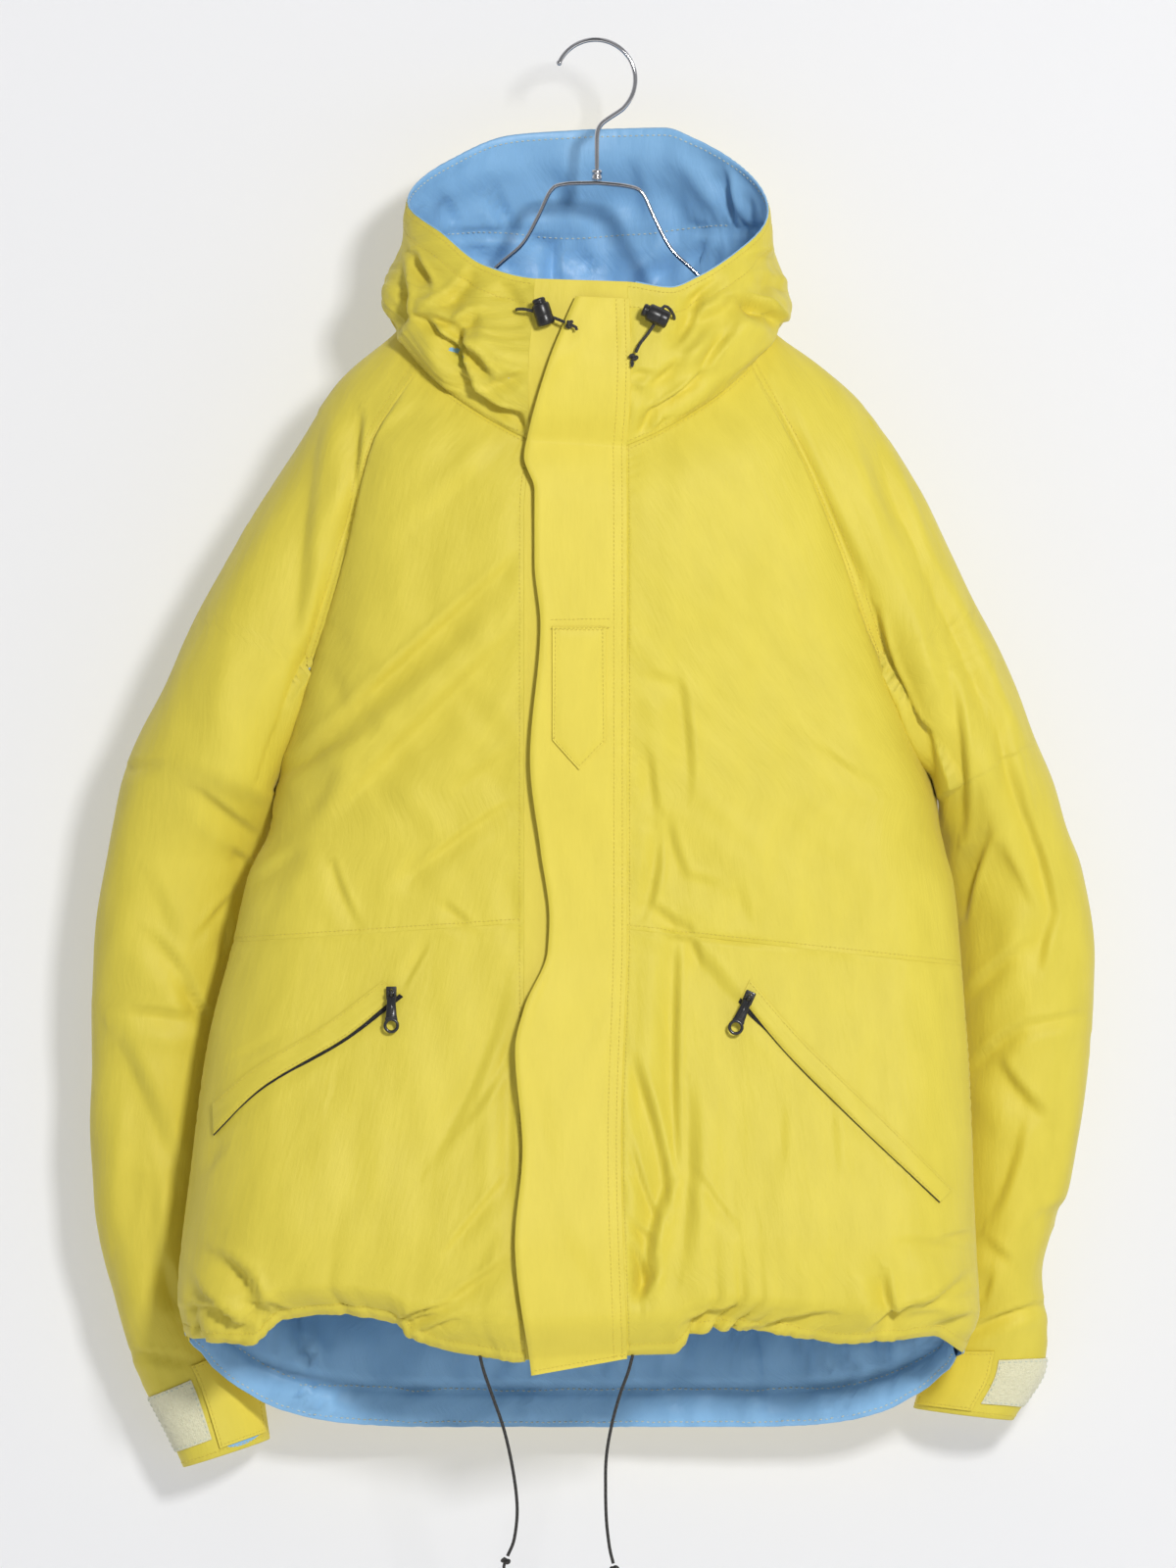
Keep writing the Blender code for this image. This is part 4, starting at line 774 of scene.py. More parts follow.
def braid(name, colour):
    """Round braided cord: two crossing spirals."""
    made, tree, shader = node_tree(name)
    checks = []
    for slant in (1, -1):
        wave = tree.nodes.new("ShaderNodeTexWave")
        wave.bands_direction = "DIAGONAL"
        wave.inputs["Scale"].default_value = 160.0
        wave.inputs["Distortion"].default_value = 0.6
        tree.links.new(mapped(tree, (slant, 1, 1), "Object"), wave.inputs["Vector"])
        checks.append(wave.outputs["Fac"])
    both = tree.nodes.new("ShaderNodeMath")
    both.operation = "MAXIMUM"
    tree.links.new(checks[0], both.inputs[0])
    tree.links.new(checks[1], both.inputs[1])
    dark = tuple(part * 0.5 for part in colour)
    tree.links.new(ramp(tree, both.outputs[0], 0.2, 0.9, dark, colour), shader.inputs["Base Color"])
    shader.inputs["Roughness"].default_value = 0.62
    shader.inputs["Sheen Weight"].default_value = 0.1
    bumped(tree, shader, (both.outputs[0], 0.0004, 0.8))
    return made


def pile(name, colour, shade):
    """Loop pile of a hook-and-loop strip."""
    made, tree, shader = node_tree(name)
    loops = tree.nodes.new("ShaderNodeTexVoronoi")
    loops.inputs["Scale"].default_value = 900.0
    tree.links.new(mapped(tree, (1, 1, 1)), loops.inputs["Vector"])
    fuzz = noise_node(tree, mapped(tree, (1, 1, 1)), 420.0, 4.0, 0.7)
    tree.links.new(ramp(tree, fuzz, 0.3, 0.7, shade, colour), shader.inputs["Base Color"])
    shader.inputs["Roughness"].default_value = 0.95
    shader.inputs["Sheen Weight"].default_value = 0.4
    bumped(tree, shader, (fuzz, 0.0008, 0.9), (loops.outputs["Distance"], 0.0006, 0.8))
    return made


YELLOW = nylon("yellow_nylon", (0.715, 0.600, 0.070), (0.672, 0.562, 0.062), 0.55, 0.40)
# The same yellow nylon with fewer crinkles, its colour painted a little brighter as painted light, for the flat pieces
# that look more brightly lit: storm flap, flap tab, zip placket and cuff tabs.
YELLOW_FLAT_LIT = nylon("yellow_nylon_smooth_lit", (0.745, 0.618, 0.074), (0.71, 0.588, 0.068), 0.55, 0.22)
BLUE = nylon("blue_nylon", (0.265, 0.515, 0.80), (0.235, 0.47, 0.745), 0.38, 0.34)
YELLOW_THREAD = plain("yellow_thread", (0.74, 0.61, 0.085), 0.6, grain=3000)
CREAM_THREAD = plain("cream_thread", (0.66, 0.70, 0.58), 0.6, grain=3000)
CREAM_PILE = pile("cream_pile", (0.80, 0.78, 0.56), (0.70, 0.67, 0.45))
BLACK_CORD = braid("black_cord", (0.030, 0.028, 0.026))
BLACK_PLASTIC = plain("black_plastic", (0.016, 0.015, 0.015), 0.32)
BLACK_ENAMEL = plain("black_enamel", (0.018, 0.018, 0.019), 0.30, coat=0.3)
BLACK_TAPE = nylon("black_tape", (0.020, 0.019, 0.020), (0.014, 0.013, 0.014), 0.8, 0.3)
CHROME = plain("chrome", (0.64, 0.64, 0.66), 0.07, metallic=1.0, depth=0.00001)


# ------------------------------------------------------------------ camera and cords
VIEW_DISTANCE, VIEW_HEIGHT_M, SENSOR = 12.0, 1.056, 36.0
camera_data = bpy.data.cameras.new("camera")
camera_data.sensor_width = SENSOR
camera_data.lens = SENSOR * VIEW_DISTANCE / VIEW_HEIGHT_M
camera = bpy.data.objects.new("camera", camera_data)
camera.location = (-0.006, -0.045 - VIEW_DISTANCE, -0.5016)
camera.rotation_euler = (radians(90), 0, 0)
camera_data.clip_end = 60
bpy.context.scene.collection.objects.link(camera)
bpy.context.scene.camera = camera


def overhand(name, at, onwards, radius, look, node):
    """A small overhand knot: the cord's own thickness wound through itself."""
    turns = 40
    size = radius / 3.6
    spin = onwards.to_track_quat("Z", "Y").to_matrix() @ Matrix.Rotation(radians(20), 3, "Z")
    points = []
    for k in range(turns):
        a = 2 * pi * k / turns
        points.append(at + spin @ Vector((sin(a) + 2 * sin(2 * a), cos(a) - 2 * cos(2 * a),
                                          -1.25 * sin(3 * a))) * size)
    return finish_object(tube(name, points, CORD_RADIUS * 0.92, look, cyclic=True), "cord", node)


def cord_end(kind, side, points, tail_length):
    route = smooth_route(points, 2.0)
    name = f"{kind}_cord_{side}"
    cord = finish_object(tube(name + "_braid", route, CORD_RADIUS, BLACK_CORD), "cord", name)
    onwards = (route[-1] - route[-2]).normalized()
    middle = route[-1] + onwards * (KNOT_RADIUS + 0.3)
    knot = overhand(f"{kind}_knot_{side}_turns", middle, onwards, KNOT_RADIUS, BLACK_CORD,
                    f"{kind}_knot_{side}")
    start = middle + onwards * 1.5
    tail = smooth_route([start, start + onwards * 3 + Vector((0.6, 0, -0.6)),
                         start + onwards * tail_length * 0.6 + Vector((1.2, -0.3, -1.2)),
                         start + onwards * tail_length + Vector((0.6, -0.6, -2.0))], 1.2)
    tail = finish_object(tube(name + "_tail", tail, CORD_RADIUS * 0.95, BLACK_CORD), "cord")


for side in SIDES:
    cord_end("hem", side, HEM_CORD[side], 5.0 if side == "right" else 3.0)
    cord_end("hood", side, HOOD_CORD[side], 3.5)


def make_cord_lock(side):
    """A turned barrel with its ribbed button, and the eyelets where the cord goes through."""
    lock = CORD_LOCK[side]
    axis = Vector((lock.along_x, 0, lock.along_z)).normalized()
    centre = Vector((lock.x, lock.y, lock.z))
    place = Matrix.Translation(centre) @ axis.to_track_quat("Z", "Y").to_matrix().to_4x4()
    bm = bmesh.new()
    lathe(bm, place, [(3.4, 7.7), (4.9, 7.5), (5.7, 7.0), (6.05, 6.0), (6.1, 2.0), (5.95, 1.4), (5.95, 0.9),
                      (6.1, 0.4), (6.1, -6.2), (5.8, -7.0), (5.2, -7.5), (4.7, -7.6)])
    lathe(bm, place, [(4.4, -7.4), (4.5, -8.2), (4.25, -8.5), (4.25, -8.9), (4.5, -9.2), (4.5, -10.2),
                      (4.1, -11.0), (3.2, -11.4)])
    through = Vector((lock.through_x, lock.through_y, lock.through_z)).normalized()
    for sign in (-1, 1):
        ring_form(bm, Matrix.Translation(centre + through * sign * 5.7)
                  @ through.to_track_quat("Z", "Y").to_matrix().to_4x4(), 1.75, 0.5, segments=24, sides=8)
    finish_object(form_object("cord_lock_" + side + "_barrel", bm, BLACK_PLASTIC), "lock_plastic",
                  "cord_lock_" + side)


# ------------------------------------------------------------------ body panels
FRONT_CREASES = {
    "right": seen(
        (530, 570, 285, 795, 0, 7, 3.2), (500, 640, 330, 790, 0, 12, -1.6),
        (528, 650, 340, 840, -3, 9, 2.8), (522, 820, 420, 895, -2, 4.5, 1.7),
        (530, 765, 470, 805, 0, 8, 1.4), (520, 455, 420, 545, 0, 12, 1.6), (430, 415, 380, 450, 0, 8, 1.2),
        (287, 808, 372, 754, 3, 9, -2.2), (345, 775, 312, 832, 0, 9, 2.2), (255, 905, 302, 868, 0, 5, 2.0),
        (335, 868, 366, 945, -2, 4, 1.5), (342, 690, 352, 742, 0, 6, 1.0), (440, 862, 405, 905, 0, 8, 1.1),
        (452, 922, 482, 946, 0, 4, 1.4), (300, 880, 272, 935, 0, 8, 1.1), (527, 895, 531, 945, 0, 6, 1.6),
        (515, 1008, 440, 1182, 4, 9, 2.4), (521, 1065, 468, 1152, 2, 6, 1.7),
        (517, 1200, 455, 1278, 0, 4, 1.5), (505, 1250, 478, 1312, 0, 8, 1.1),
        (222, 1282, 264, 1335, 4, 8, 6.0), (245, 1325, 292, 1346, 0, 4, 3.0),
        (190, 1335, 240, 1346, 3, 4, 3.0), (263, 1338, 251, 1364, 0, 4, 2.6),
        (198, 1305, 212, 1340, 0, 5, 2.4), (400, 1351, 458, 1329, 1, 3, 2.8),
        (455, 1330, 515, 1287, 0, 5, 2.2), (235, 1080, 290, 1050, 0, 3, 1.0),
        (226, 1165, 207, 1197, 0, 4, 1.6), (411, 1008, 436, 962, 0, 3, 1.0),
        (330, 1150, 300, 1290, 0, 26, -1.6), (430, 1030, 400, 1150, 0, 20, -1.2),
        (205, 1318, 236, 1352, 2, 3, 3.4), (222, 1340, 252, 1356, 0, 2.6, 3.0),
        (270, 1326, 296, 1338, 0, 3, 2.6), (412, 1352, 446, 1340, 0, 2.6, 2.6),
        (424, 1360, 470, 1342, 0, 2.6, 2.2), (528, 1040, 524, 1240, -2, 5, 2.6)),
    "left": seen(
        (690, 690, 702, 812, 2, 6, 2.0), (660, 770, 668, 832, 0, 5, 1.8), (680, 838, 700, 900, -2, 6, 2.0),
        (669, 850, 657, 932, 3, 5, 2.4), (662, 924, 702, 951, 0, 5, 2.2),
        (838, 764, 918, 812, -3, 3.5, 1.2), (700, 895, 732, 906, 0, 6, 1.1),
        (750, 905, 762, 945, 0, 8, 1.0), (660, 690, 690, 700, 0, 6, 1.2), (642, 1080, 679, 1232, 4, 7, 4.6),
        (678, 1200, 658, 1322, -5, 8, 5.2), (700, 1110, 694, 1290, 3, 9, 2.6),
        (760, 1356, 850, 1338, 2, 3, 2.6), (700, 1348, 748, 1332, 1, 3, 3.0),
        (955, 1352, 992, 1340, 0, 3, 2.6), (890, 1350, 940, 1326, -2, 3.5, 3.4),
        (930, 1342, 985, 1300, -2, 4, 3.4), (668, 1290, 645, 1325, 0, 6, 4.0),
        (689, 955, 689, 1195, -2, 5, 3.2), (642, 1160, 670, 1242, -2, 3.5, 2.6),
        (632, 1235, 664, 1262, 0, 3, 2.0), (705, 1190, 748, 1248, 0, 3.5, 1.2),
        (700, 940, 716, 988, 0, 4, 1.6), (690, 952, 757, 1032, 0, 8, 1.8),
        (796, 1128, 796, 1186, 0, 6, 0.9), (845, 1115, 852, 1205, 0, 6, 0.9),
        (925, 1265, 992, 1276, 0, 6, 1.8), (958, 1262, 992, 1257, 0, 3, 1.6),
        (900, 1298, 913, 1348, -2, 5, 4.5), (965, 1330, 996, 1318, 0, 4, 1.8),
        (918, 1347, 962, 1339, 0, 3.5, 1.6), (730, 1100, 720, 1260, 0, 18, -1.8),
        (640, 1262, 655, 1318, 3, 4, 3.0), (870, 1040, 850, 1240, 0, 24, -1.2),
        (630, 1180, 648, 1202, 0, 3, 2.0)),
}
# The back isn't seen: soft folds of the same kind
BACK_CREASES = [
    Crease(-120, -330, -60, -620, 8, 22, 4.0), Crease(105, -340, 70, -600, -8, 22, 4.0),
    Crease(-160, -650, -190, -860, -6, 20, 4.0), Crease(150, -660, 175, -850, 6, 20, 4.0),
    Crease(-20, -400, 10, -820, 10, 30, -3.0), Crease(-196, -500, -110, -560, 4, 8, 3.0),
    Crease(-190, -530, -128, -640, 5, 10, 2.6), Crease(200, -505, 118, -572, -4, 8, 3.0),
    Crease(196, -540, 140, -650, -5, 10, 2.6), Crease(-90, -250, -150, -400, 5, 12, 2.2),
    Crease(82, -252, 140, -410, -5, 12, 2.2), Crease(-60, -700, -84, -900, 4, 12, 2.4),
    Crease(40, -690, 52, -890, -4, 12, 2.4), Crease(-225, -700, -238, -850, 3, 12, 2.2),
    Crease(220, -700, 230, -860, -3, 12, 2.2), Crease(-110, -840, -96, -930, 0, 7, 2.4),
    Crease(96, -850, 110, -935, 0, 7, 2.4), Crease(-8, -850, 0, -935, 0, 7, 2.0)]
SLEEVE_CREASES = {
    "right": seen(
        (322, 432, 303, 690, -4, 10, 2.4), (366, 422, 360, 497, 0, 5, 3.2), (388, 474, 352, 560, 0, 6, 6.0),
        (352, 556, 280, 802, 0, 4, 3.2), (122, 784, 162, 778, 0, 4, 1.8), (260, 854, 198, 806, 0, 5, 2.4),
        (256, 886, 236, 868, 0, 4, 2.2), (242, 908, 200, 956, 0, 4, 1.8), (216, 1036, 128, 1030, 3, 5, 2.8),
        (215, 1038, 188, 1006, 2, 4, 3.8), (150, 955, 197, 1016, 2, 6, 2.4),
        (112, 1062, 172, 1192, 2, 12, 3.2), (152, 1196, 150, 1292, 0, 10, 2.2),
        (128, 1382, 192, 1390, 0, 2.5, 2.2), (120, 1120, 112, 1260, 0, 12, -2.0),
        (232, 938, 226, 975, 0, 4, 2.4), (250, 560, 215, 740, 0, 20, -1.6), (150, 900, 175, 960, 0, 9, 1.4),
        (165, 1290, 178, 1340, 0, 7, 3.0)),
    "left": seen(
        (790, 395, 892, 622, -3, 9, 2.8), (892, 622, 918, 706, -2, 5, 4.6), (912, 690, 947, 786, 2, 5, 5.6),
        (893, 440, 957, 602, -2, 7, 3.0), (950, 590, 1004, 714, 2, 10, 4.2),
        (996, 690, 1034, 764, 0, 9, 3.2), (1022, 742, 1052, 852, -2, 6, 4.0),
        (1048, 838, 1076, 938, 2, 5.5, 3.8), (972, 700, 980, 852, 2, 7, 4.4),
        (1010, 848, 984, 938, -3, 5, 3.6), (1020, 868, 1058, 938, 0, 7, 2.0),
        (1076, 930, 1060, 992, -2, 6, 3.0), (984, 1026, 1052, 962, 3, 5, 2.4),
        (994, 1092, 1050, 1046, 3, 4.5, 2.4), (1045, 1047, 1112, 1034, 0, 3.5, 2.0),
        (1018, 1084, 1068, 1142, -3, 7, 3.4), (1042, 1138, 1008, 1244, 3, 8, 2.8),
        (1004, 1268, 1034, 1292, 0, 5, 1.8), (1058, 1250, 1094, 1232, 0, 8, 1.8),
        (990, 1362, 1074, 1332, 2, 3, 2.8), (1085, 1120, 1070, 1230, 0, 12, 2.2),
        (930, 620, 962, 720, 0, 9, -2.0), (1003, 1330, 1012, 1300, 0, 5, 1.6),
        (850, 420, 915, 560, 0, 12, -1.6)),
}
HOOD_CREASES = seen(
    (428, 326, 482, 402, 5, 4, 6.5), (478, 397, 532, 426, -3, 3.6, 5.5), (527, 422, 536, 442, 0, 3.5, 3.5),
    (462, 380, 484, 405, 0, 4, 3.0), (424, 323, 467, 336, 2, 3.6, 4.2), (466, 333, 470, 362, 0, 5, 6.0),
    (467, 354, 498, 385, 3, 4, 5.2), (466, 336, 487, 321, 0, 5, 4.2), (437, 317, 483, 276, -3, 5, 3.4),
    (420, 260, 437, 291, 0, 4, 4.4), (406, 266, 402, 338, 3, 5, 4.6), (415, 288, 412, 332, 0, 4, 3.6),
    (497, 398, 549, 381, 2, 4, 2.2), (508, 288, 534, 334, 3, 8, 1.8), (714, 298, 688, 352, 2, 5, 3.0),
    (726, 289, 702, 310, 0, 4, 2.0), (746, 338, 714, 386, -2, 4, 3.2), (718, 382, 664, 422, 2, 3.4, 4.2),
    (668, 416, 652, 446, 2, 4, 3.0), (697, 368, 662, 398, 0, 5, 2.6), (682, 428, 658, 452, 0, 4, 2.2),
    (750, 307, 798, 331, 4, 4.5, 6.5), (700, 332, 752, 307, -3, 7, 2.4), (772, 288, 816, 304, 4, 6, 2.6),
    (756, 264, 802, 261, 0, 5, 1.8), (470, 430, 520, 440, 0, 6, -1.2), (480, 345, 520, 370, 0, 16, -2.4),
    (440, 300, 450, 330, 0, 10, -2.0), (730, 340, 690, 380, 0, 7, -1.6), (780, 310, 800, 290, 0, 10, -2.2),
    (640, 380, 668, 384, 0, 3.5, 1.6), (640, 395, 660, 402, 0, 3.5, 1.4), (625, 372, 640, 380, 0, 4, 1.4))
HOOD_INSIDE_CREASES = seen(
    (565, 242, 566, 288, 0, 3.4, 4.0), (540, 235, 625, 284, 2, 3, 2.0), (638, 288, 694, 259, 0, 5, 4.0),
    (487, 189, 527, 233, 2, 3, 2.6), (500, 182, 520, 215, 0, 3, 1.6), (690, 132, 740, 170, 2, 5, 3.0),
    (738, 168, 752, 225, 2, 5, 3.2), (708, 268, 724, 246, 0, 3, 2.4), (722, 270, 738, 250, 0, 3, 2.2),
    (470, 240, 500, 268, 2, 5, 3.0), (500, 250, 530, 280, 0, 5, 2.2), (590, 246, 610, 276, 0, 4, 1.4),
    (448, 195, 462, 226, 0, 5, 2.0), (640, 160, 652, 215, 2, 9, 1.6), (560, 150, 572, 220, 0, 10, 1.2))
HOOD_BEHIND_CREASES = [
    Crease(-110, -150, -60, -215, 5, 7, 4.0), Crease(104, -150, 52, -220, -5, 7, 4.0),
    Crease(-60, -120, -30, -200, 4, 9, 3.0), Crease(50, -118, 22, -205, -4, 9, 3.0),
    Crease(-10, -110, 0, -230, 3, 12, 2.4), Crease(-90, -230, 80, -236, 12, 10, 4.0),
    Crease(-96, -200, -20, -262, 6, 7, 3.0), Crease(90, -204, 12, -264, -6, 7, 3.0)]
FLAP_CREASES = seen(
    (655, 300, 560, 400, 0, 14, 1.6), (640, 438, 560, 440, 0, 6, 0.8), (600, 340, 575, 365, 0, 8, -1.0),
    (560, 935, 536, 1030, 0, 10, -1.2), (545, 1100, 560, 1200, 0, 14, 1.0), (628, 680, 606, 770, 0, 9, 0.5),
    (620, 1010, 585, 1090, 0, 12, 0.9), (560, 1240, 610, 1330, 0, 12, 0.9))
WAIST = 0.60
FOLD_GAIN, BACK_GAIN = 1.65, 1.25
HOOD_GAIN, HOOD_BEHIND_GAIN, HOOD_INSIDE_GAIN = 1.95, 1.3, 2.3
CUFF_TURN, HEM_TURN = 24.0, 26.0
LINING_FIRST_ROW = 128
OPEN_ROWS, RING_ROWS = 96, 150
FRONT_COLUMNS, BEHIND_COLUMNS = 65, 41
SLEEVE_TUCK, SLEEVE_TUCK_Z = 6.0, -534.0


def pocket_valley(side, x, z):
    """The front dips along the zip's line, between the welt and the cloth below it."""
    return crease_depth([Crease(a.zip_x, a.zip_z, b.zip_x, b.zip_z, 0, 3.0, 1.2)
                         for a, b in zip(POCKET[side], POCKET[side][1:])], x, z)


def make_front(side, part):
    upper = part == "upper"
    along = np.linspace(0.0 if upper else WAIST, WAIST if upper else 1.0, 160 if upper else 150)
    across = across_places(side, "front", along, 16, 84 if upper else 92)
    base = settled_body_point(side, "front", along[:, None], across)
    normal = facing(base, TO_FRONT)
    x, z = base[..., 0], base[..., 2]
    from_side = arc(base, 1)
    from_centre = from_side[:, -1:] - from_side
    down = arc(base, 0)
    to_foot = down[-1:] - down
    seed = 11 if side == "right" else 23
    depth = FOLD_GAIN * crease_depth(FRONT_CREASES[side], x, z) * smooth(1, 14, from_centre) * smooth(0, 8, from_side)
    depth = depth + 1.3 * noise(x, z, 95, seed, 2.2) + 0.5 * noise(x, z, 34, seed + 1, 2.5)
    slanted = (x + z * 1.1) * (-1 if side == "left" else 1)
    depth = depth + 0.35 * noise(slanted, x, 26, seed + 9, 5.0) * smooth(-640, -520, z) * smooth(-330, -420, z)
    depth = depth - np.exp(-from_centre / 9.0) * 0.3 * gather(down, 7.0, seed + 2)
    depth = depth - np.exp(-from_side / 10.0) * 0.6 * gather(down, 8.0, seed + 3)
    waist = to_foot if upper else down
    depth = depth - np.exp(-waist / 9.0) * 0.22 * gather(from_side, 9.0, seed + 4)
    depth = settle(settle(settle(depth, from_side), from_centre, 0.1), waist, 0.12)
    if upper:
        depth = settle(depth - np.exp(-down / 9.0) * 0.35 * gather(from_side, 9.0, seed + 8), down)
    else:
        uneven = np.clip(0.55 + 0.9 * noise(from_side, 0 * down, 64, seed + 10), 0.12, 1.5)
        drawn = smooth(0.0, 14.0, from_side) * smooth(0.0, 6.0, from_centre) * uneven
        depth = depth - np.exp(-(to_foot / 34.0) ** 1.2) * 2.2 * drawn * gather(from_side, 21.0, seed + 5)
        depth = depth - np.exp(-to_foot / 12.0) * 1.3 * drawn * gather(from_side, 8.5, seed + 6)
        depth = depth - np.exp(-(to_foot / 80.0) ** 1.5) * 1.4 * drawn * gather(from_side, 47.0, seed + 7)
        depth = depth + 0.9 * np.exp(-((to_foot - 7.5) / 1.3) ** 2) - 0.8 * np.exp(-((to_foot - 3.4) / 2.6) ** 2)
        depth = depth + pocket_valley(side, x, z)
    grid = base - normal * depth[..., None]
    name = f"front_{part}_{side}"
    finished[name] = Surface(grid, facing(grid, normal))
    if not upper:
        hem = grid[-1]
        turned = [hem + np.array([0, out, up]) for out, up in
                  ((1.2, -1.0), (3.2, -1.2), (5.0, 0.2), (6.2, 3.0), (6.6, 9.0))]
        grid = np.concatenate([grid, np.array(turned)])
        normal = np.concatenate([normal, [normal[-1]] + 4 * [-normal[-1]]])
    made = grid_mesh(name + "_cloth", grid, (YELLOW, BLUE), normal, SHELL_WALL)
    return finish_object(made, "shell_cloth", name)


def make_back():
    along = np.linspace(0, 1, 210)
    halves = [settled_body_point(side, "back", along[:, None],
                                 across_places(side, "back", along, 12, 50)) for side in SIDES]
    base = np.concatenate([halves[0], halves[1][:, -2::-1]], axis=1)
    normal = facing(base, TO_BACK)
    x, z = base[..., 0], base[..., 2]
    run, down = arc(base, 1), arc(base, 0)
    from_side = np.minimum(run, run[:, -1:] - run)
    to_foot = down[-1:] - down
    drawn = smooth(0.0, 14.0, from_side)
    depth = BACK_GAIN * crease_depth(BACK_CREASES, x, z) * smooth(0, 25, from_side)
    depth = depth + 1.4 * noise(x, z, 100, 41, 2.2) + 0.5 * noise(x, z, 36, 42, 2.5)
    depth = depth + np.exp(-down / 9.0) * 0.35 * gather(run, 9.0, 45)
    depth = depth - np.exp(-from_side / 10.0) * 0.6 * gather(down, 8.0, 46)
    depth = settle(settle(depth, from_side), down)
    depth = depth - np.exp(-(to_foot / 40.0)) * 1.8 * drawn * gather(run, 24.0, 43)
    depth = depth - np.exp(-to_foot / 16.0) * 0.9 * drawn * gather(run, 9.0, 44)
    depth = depth + 0.8 * np.exp(-((to_foot - HEM_TURN) / 1.8) ** 2)
    grid = base - normal * depth[..., None]
    finished["back_panel"] = Surface(grid, facing(grid, normal))
    made = grid_mesh("back_panel_cloth", grid, (YELLOW, BLUE), normal, SHELL_WALL)
    return finish_object(made, "shell_cloth", "back_panel")


def make_back_lining():
    """The second colour inside the back, down to the hem, drawn up along its channel."""
    grid, normal = (values[LINING_FIRST_ROW:] for values in finished["back_panel"])
    inside = grid - normal * (SHELL_WALL + 0.5)
    run = arc(inside, 1)
    x = inside[..., 0]
    from_side = np.minimum(run, run[:, -1:] - run)
    to_foot = arc(inside, 0)[-1:] - arc(inside, 0)
    strong = 1 + 1.3 * smooth(-170, -200, x) + 1.3 * smooth(155, 185, x)
    skew = run + 0.35 * to_foot * np.sin(run / 61.0) + 2.0 * noise(run, to_foot, 30, 54)
    uneven = np.clip(0.6 + 0.8 * noise(run, 0 * run, 70, 56), 0.15, 1.5)
    depth = np.exp(-((to_foot - 12) / 12.0) ** 2) * 1.5 * strong * uneven * (gather(skew, 12.0, 51) + 1)
    depth = depth + np.exp(-((to_foot - 44) / 22.0) ** 2) * 2.6 * strong * uneven * (gather(skew, 17.0, 53) + 1)
    depth = depth + np.exp(-((to_foot - 60) / 34.0) ** 2) * 3.4 * (gather(skew, 43.0, 52) + 1)
    depth = depth + 1.2 * (noise(run, to_foot, 40, 55) + 1)
    depth = depth * (1 - 0.94 * np.exp(-((to_foot - HEM_TURN) / 2.4) ** 2))
    inside = inside - normal * (depth * smooth(3, 15, from_side) * smooth(0.0, 3.0, to_foot))[..., None]
    finished["back_lining"] = Surface(inside[:, 3:-3], facing(inside, -normal)[:, 3:-3])
    fold = [inside[-1] + np.array([0, 0, -0.6]), grid[-1] - normal[-1] * 0.4 + np.array([0, 0, -0.5])]
    shape = np.concatenate([inside, fold])[:, 3:-3]
    outward = np.concatenate([-normal, [-normal[-1], normal[-1] * 0 + np.array([0, 0, -1.0])]])[:, 3:-3]
    made = grid_mesh("back_lining_cloth", shape, (BLUE,), outward, LINING_WALL)
    return finish_object(made, "lining_cloth", "back_lining")


def sleeve_stations():
    """Places along a sleeve, and turns round it from one seam to the other, that its grid is made at."""
    along = np.concatenate([np.linspace(0, ARMPIT, OPEN_ROWS), np.linspace(ARMPIT, 1.0, RING_ROWS + 1)[1:]])
    turn = np.concatenate([np.linspace(-1, 0, FRONT_COLUMNS)[:-1], np.linspace(0, 1, BEHIND_COLUMNS)])
    return along, turn


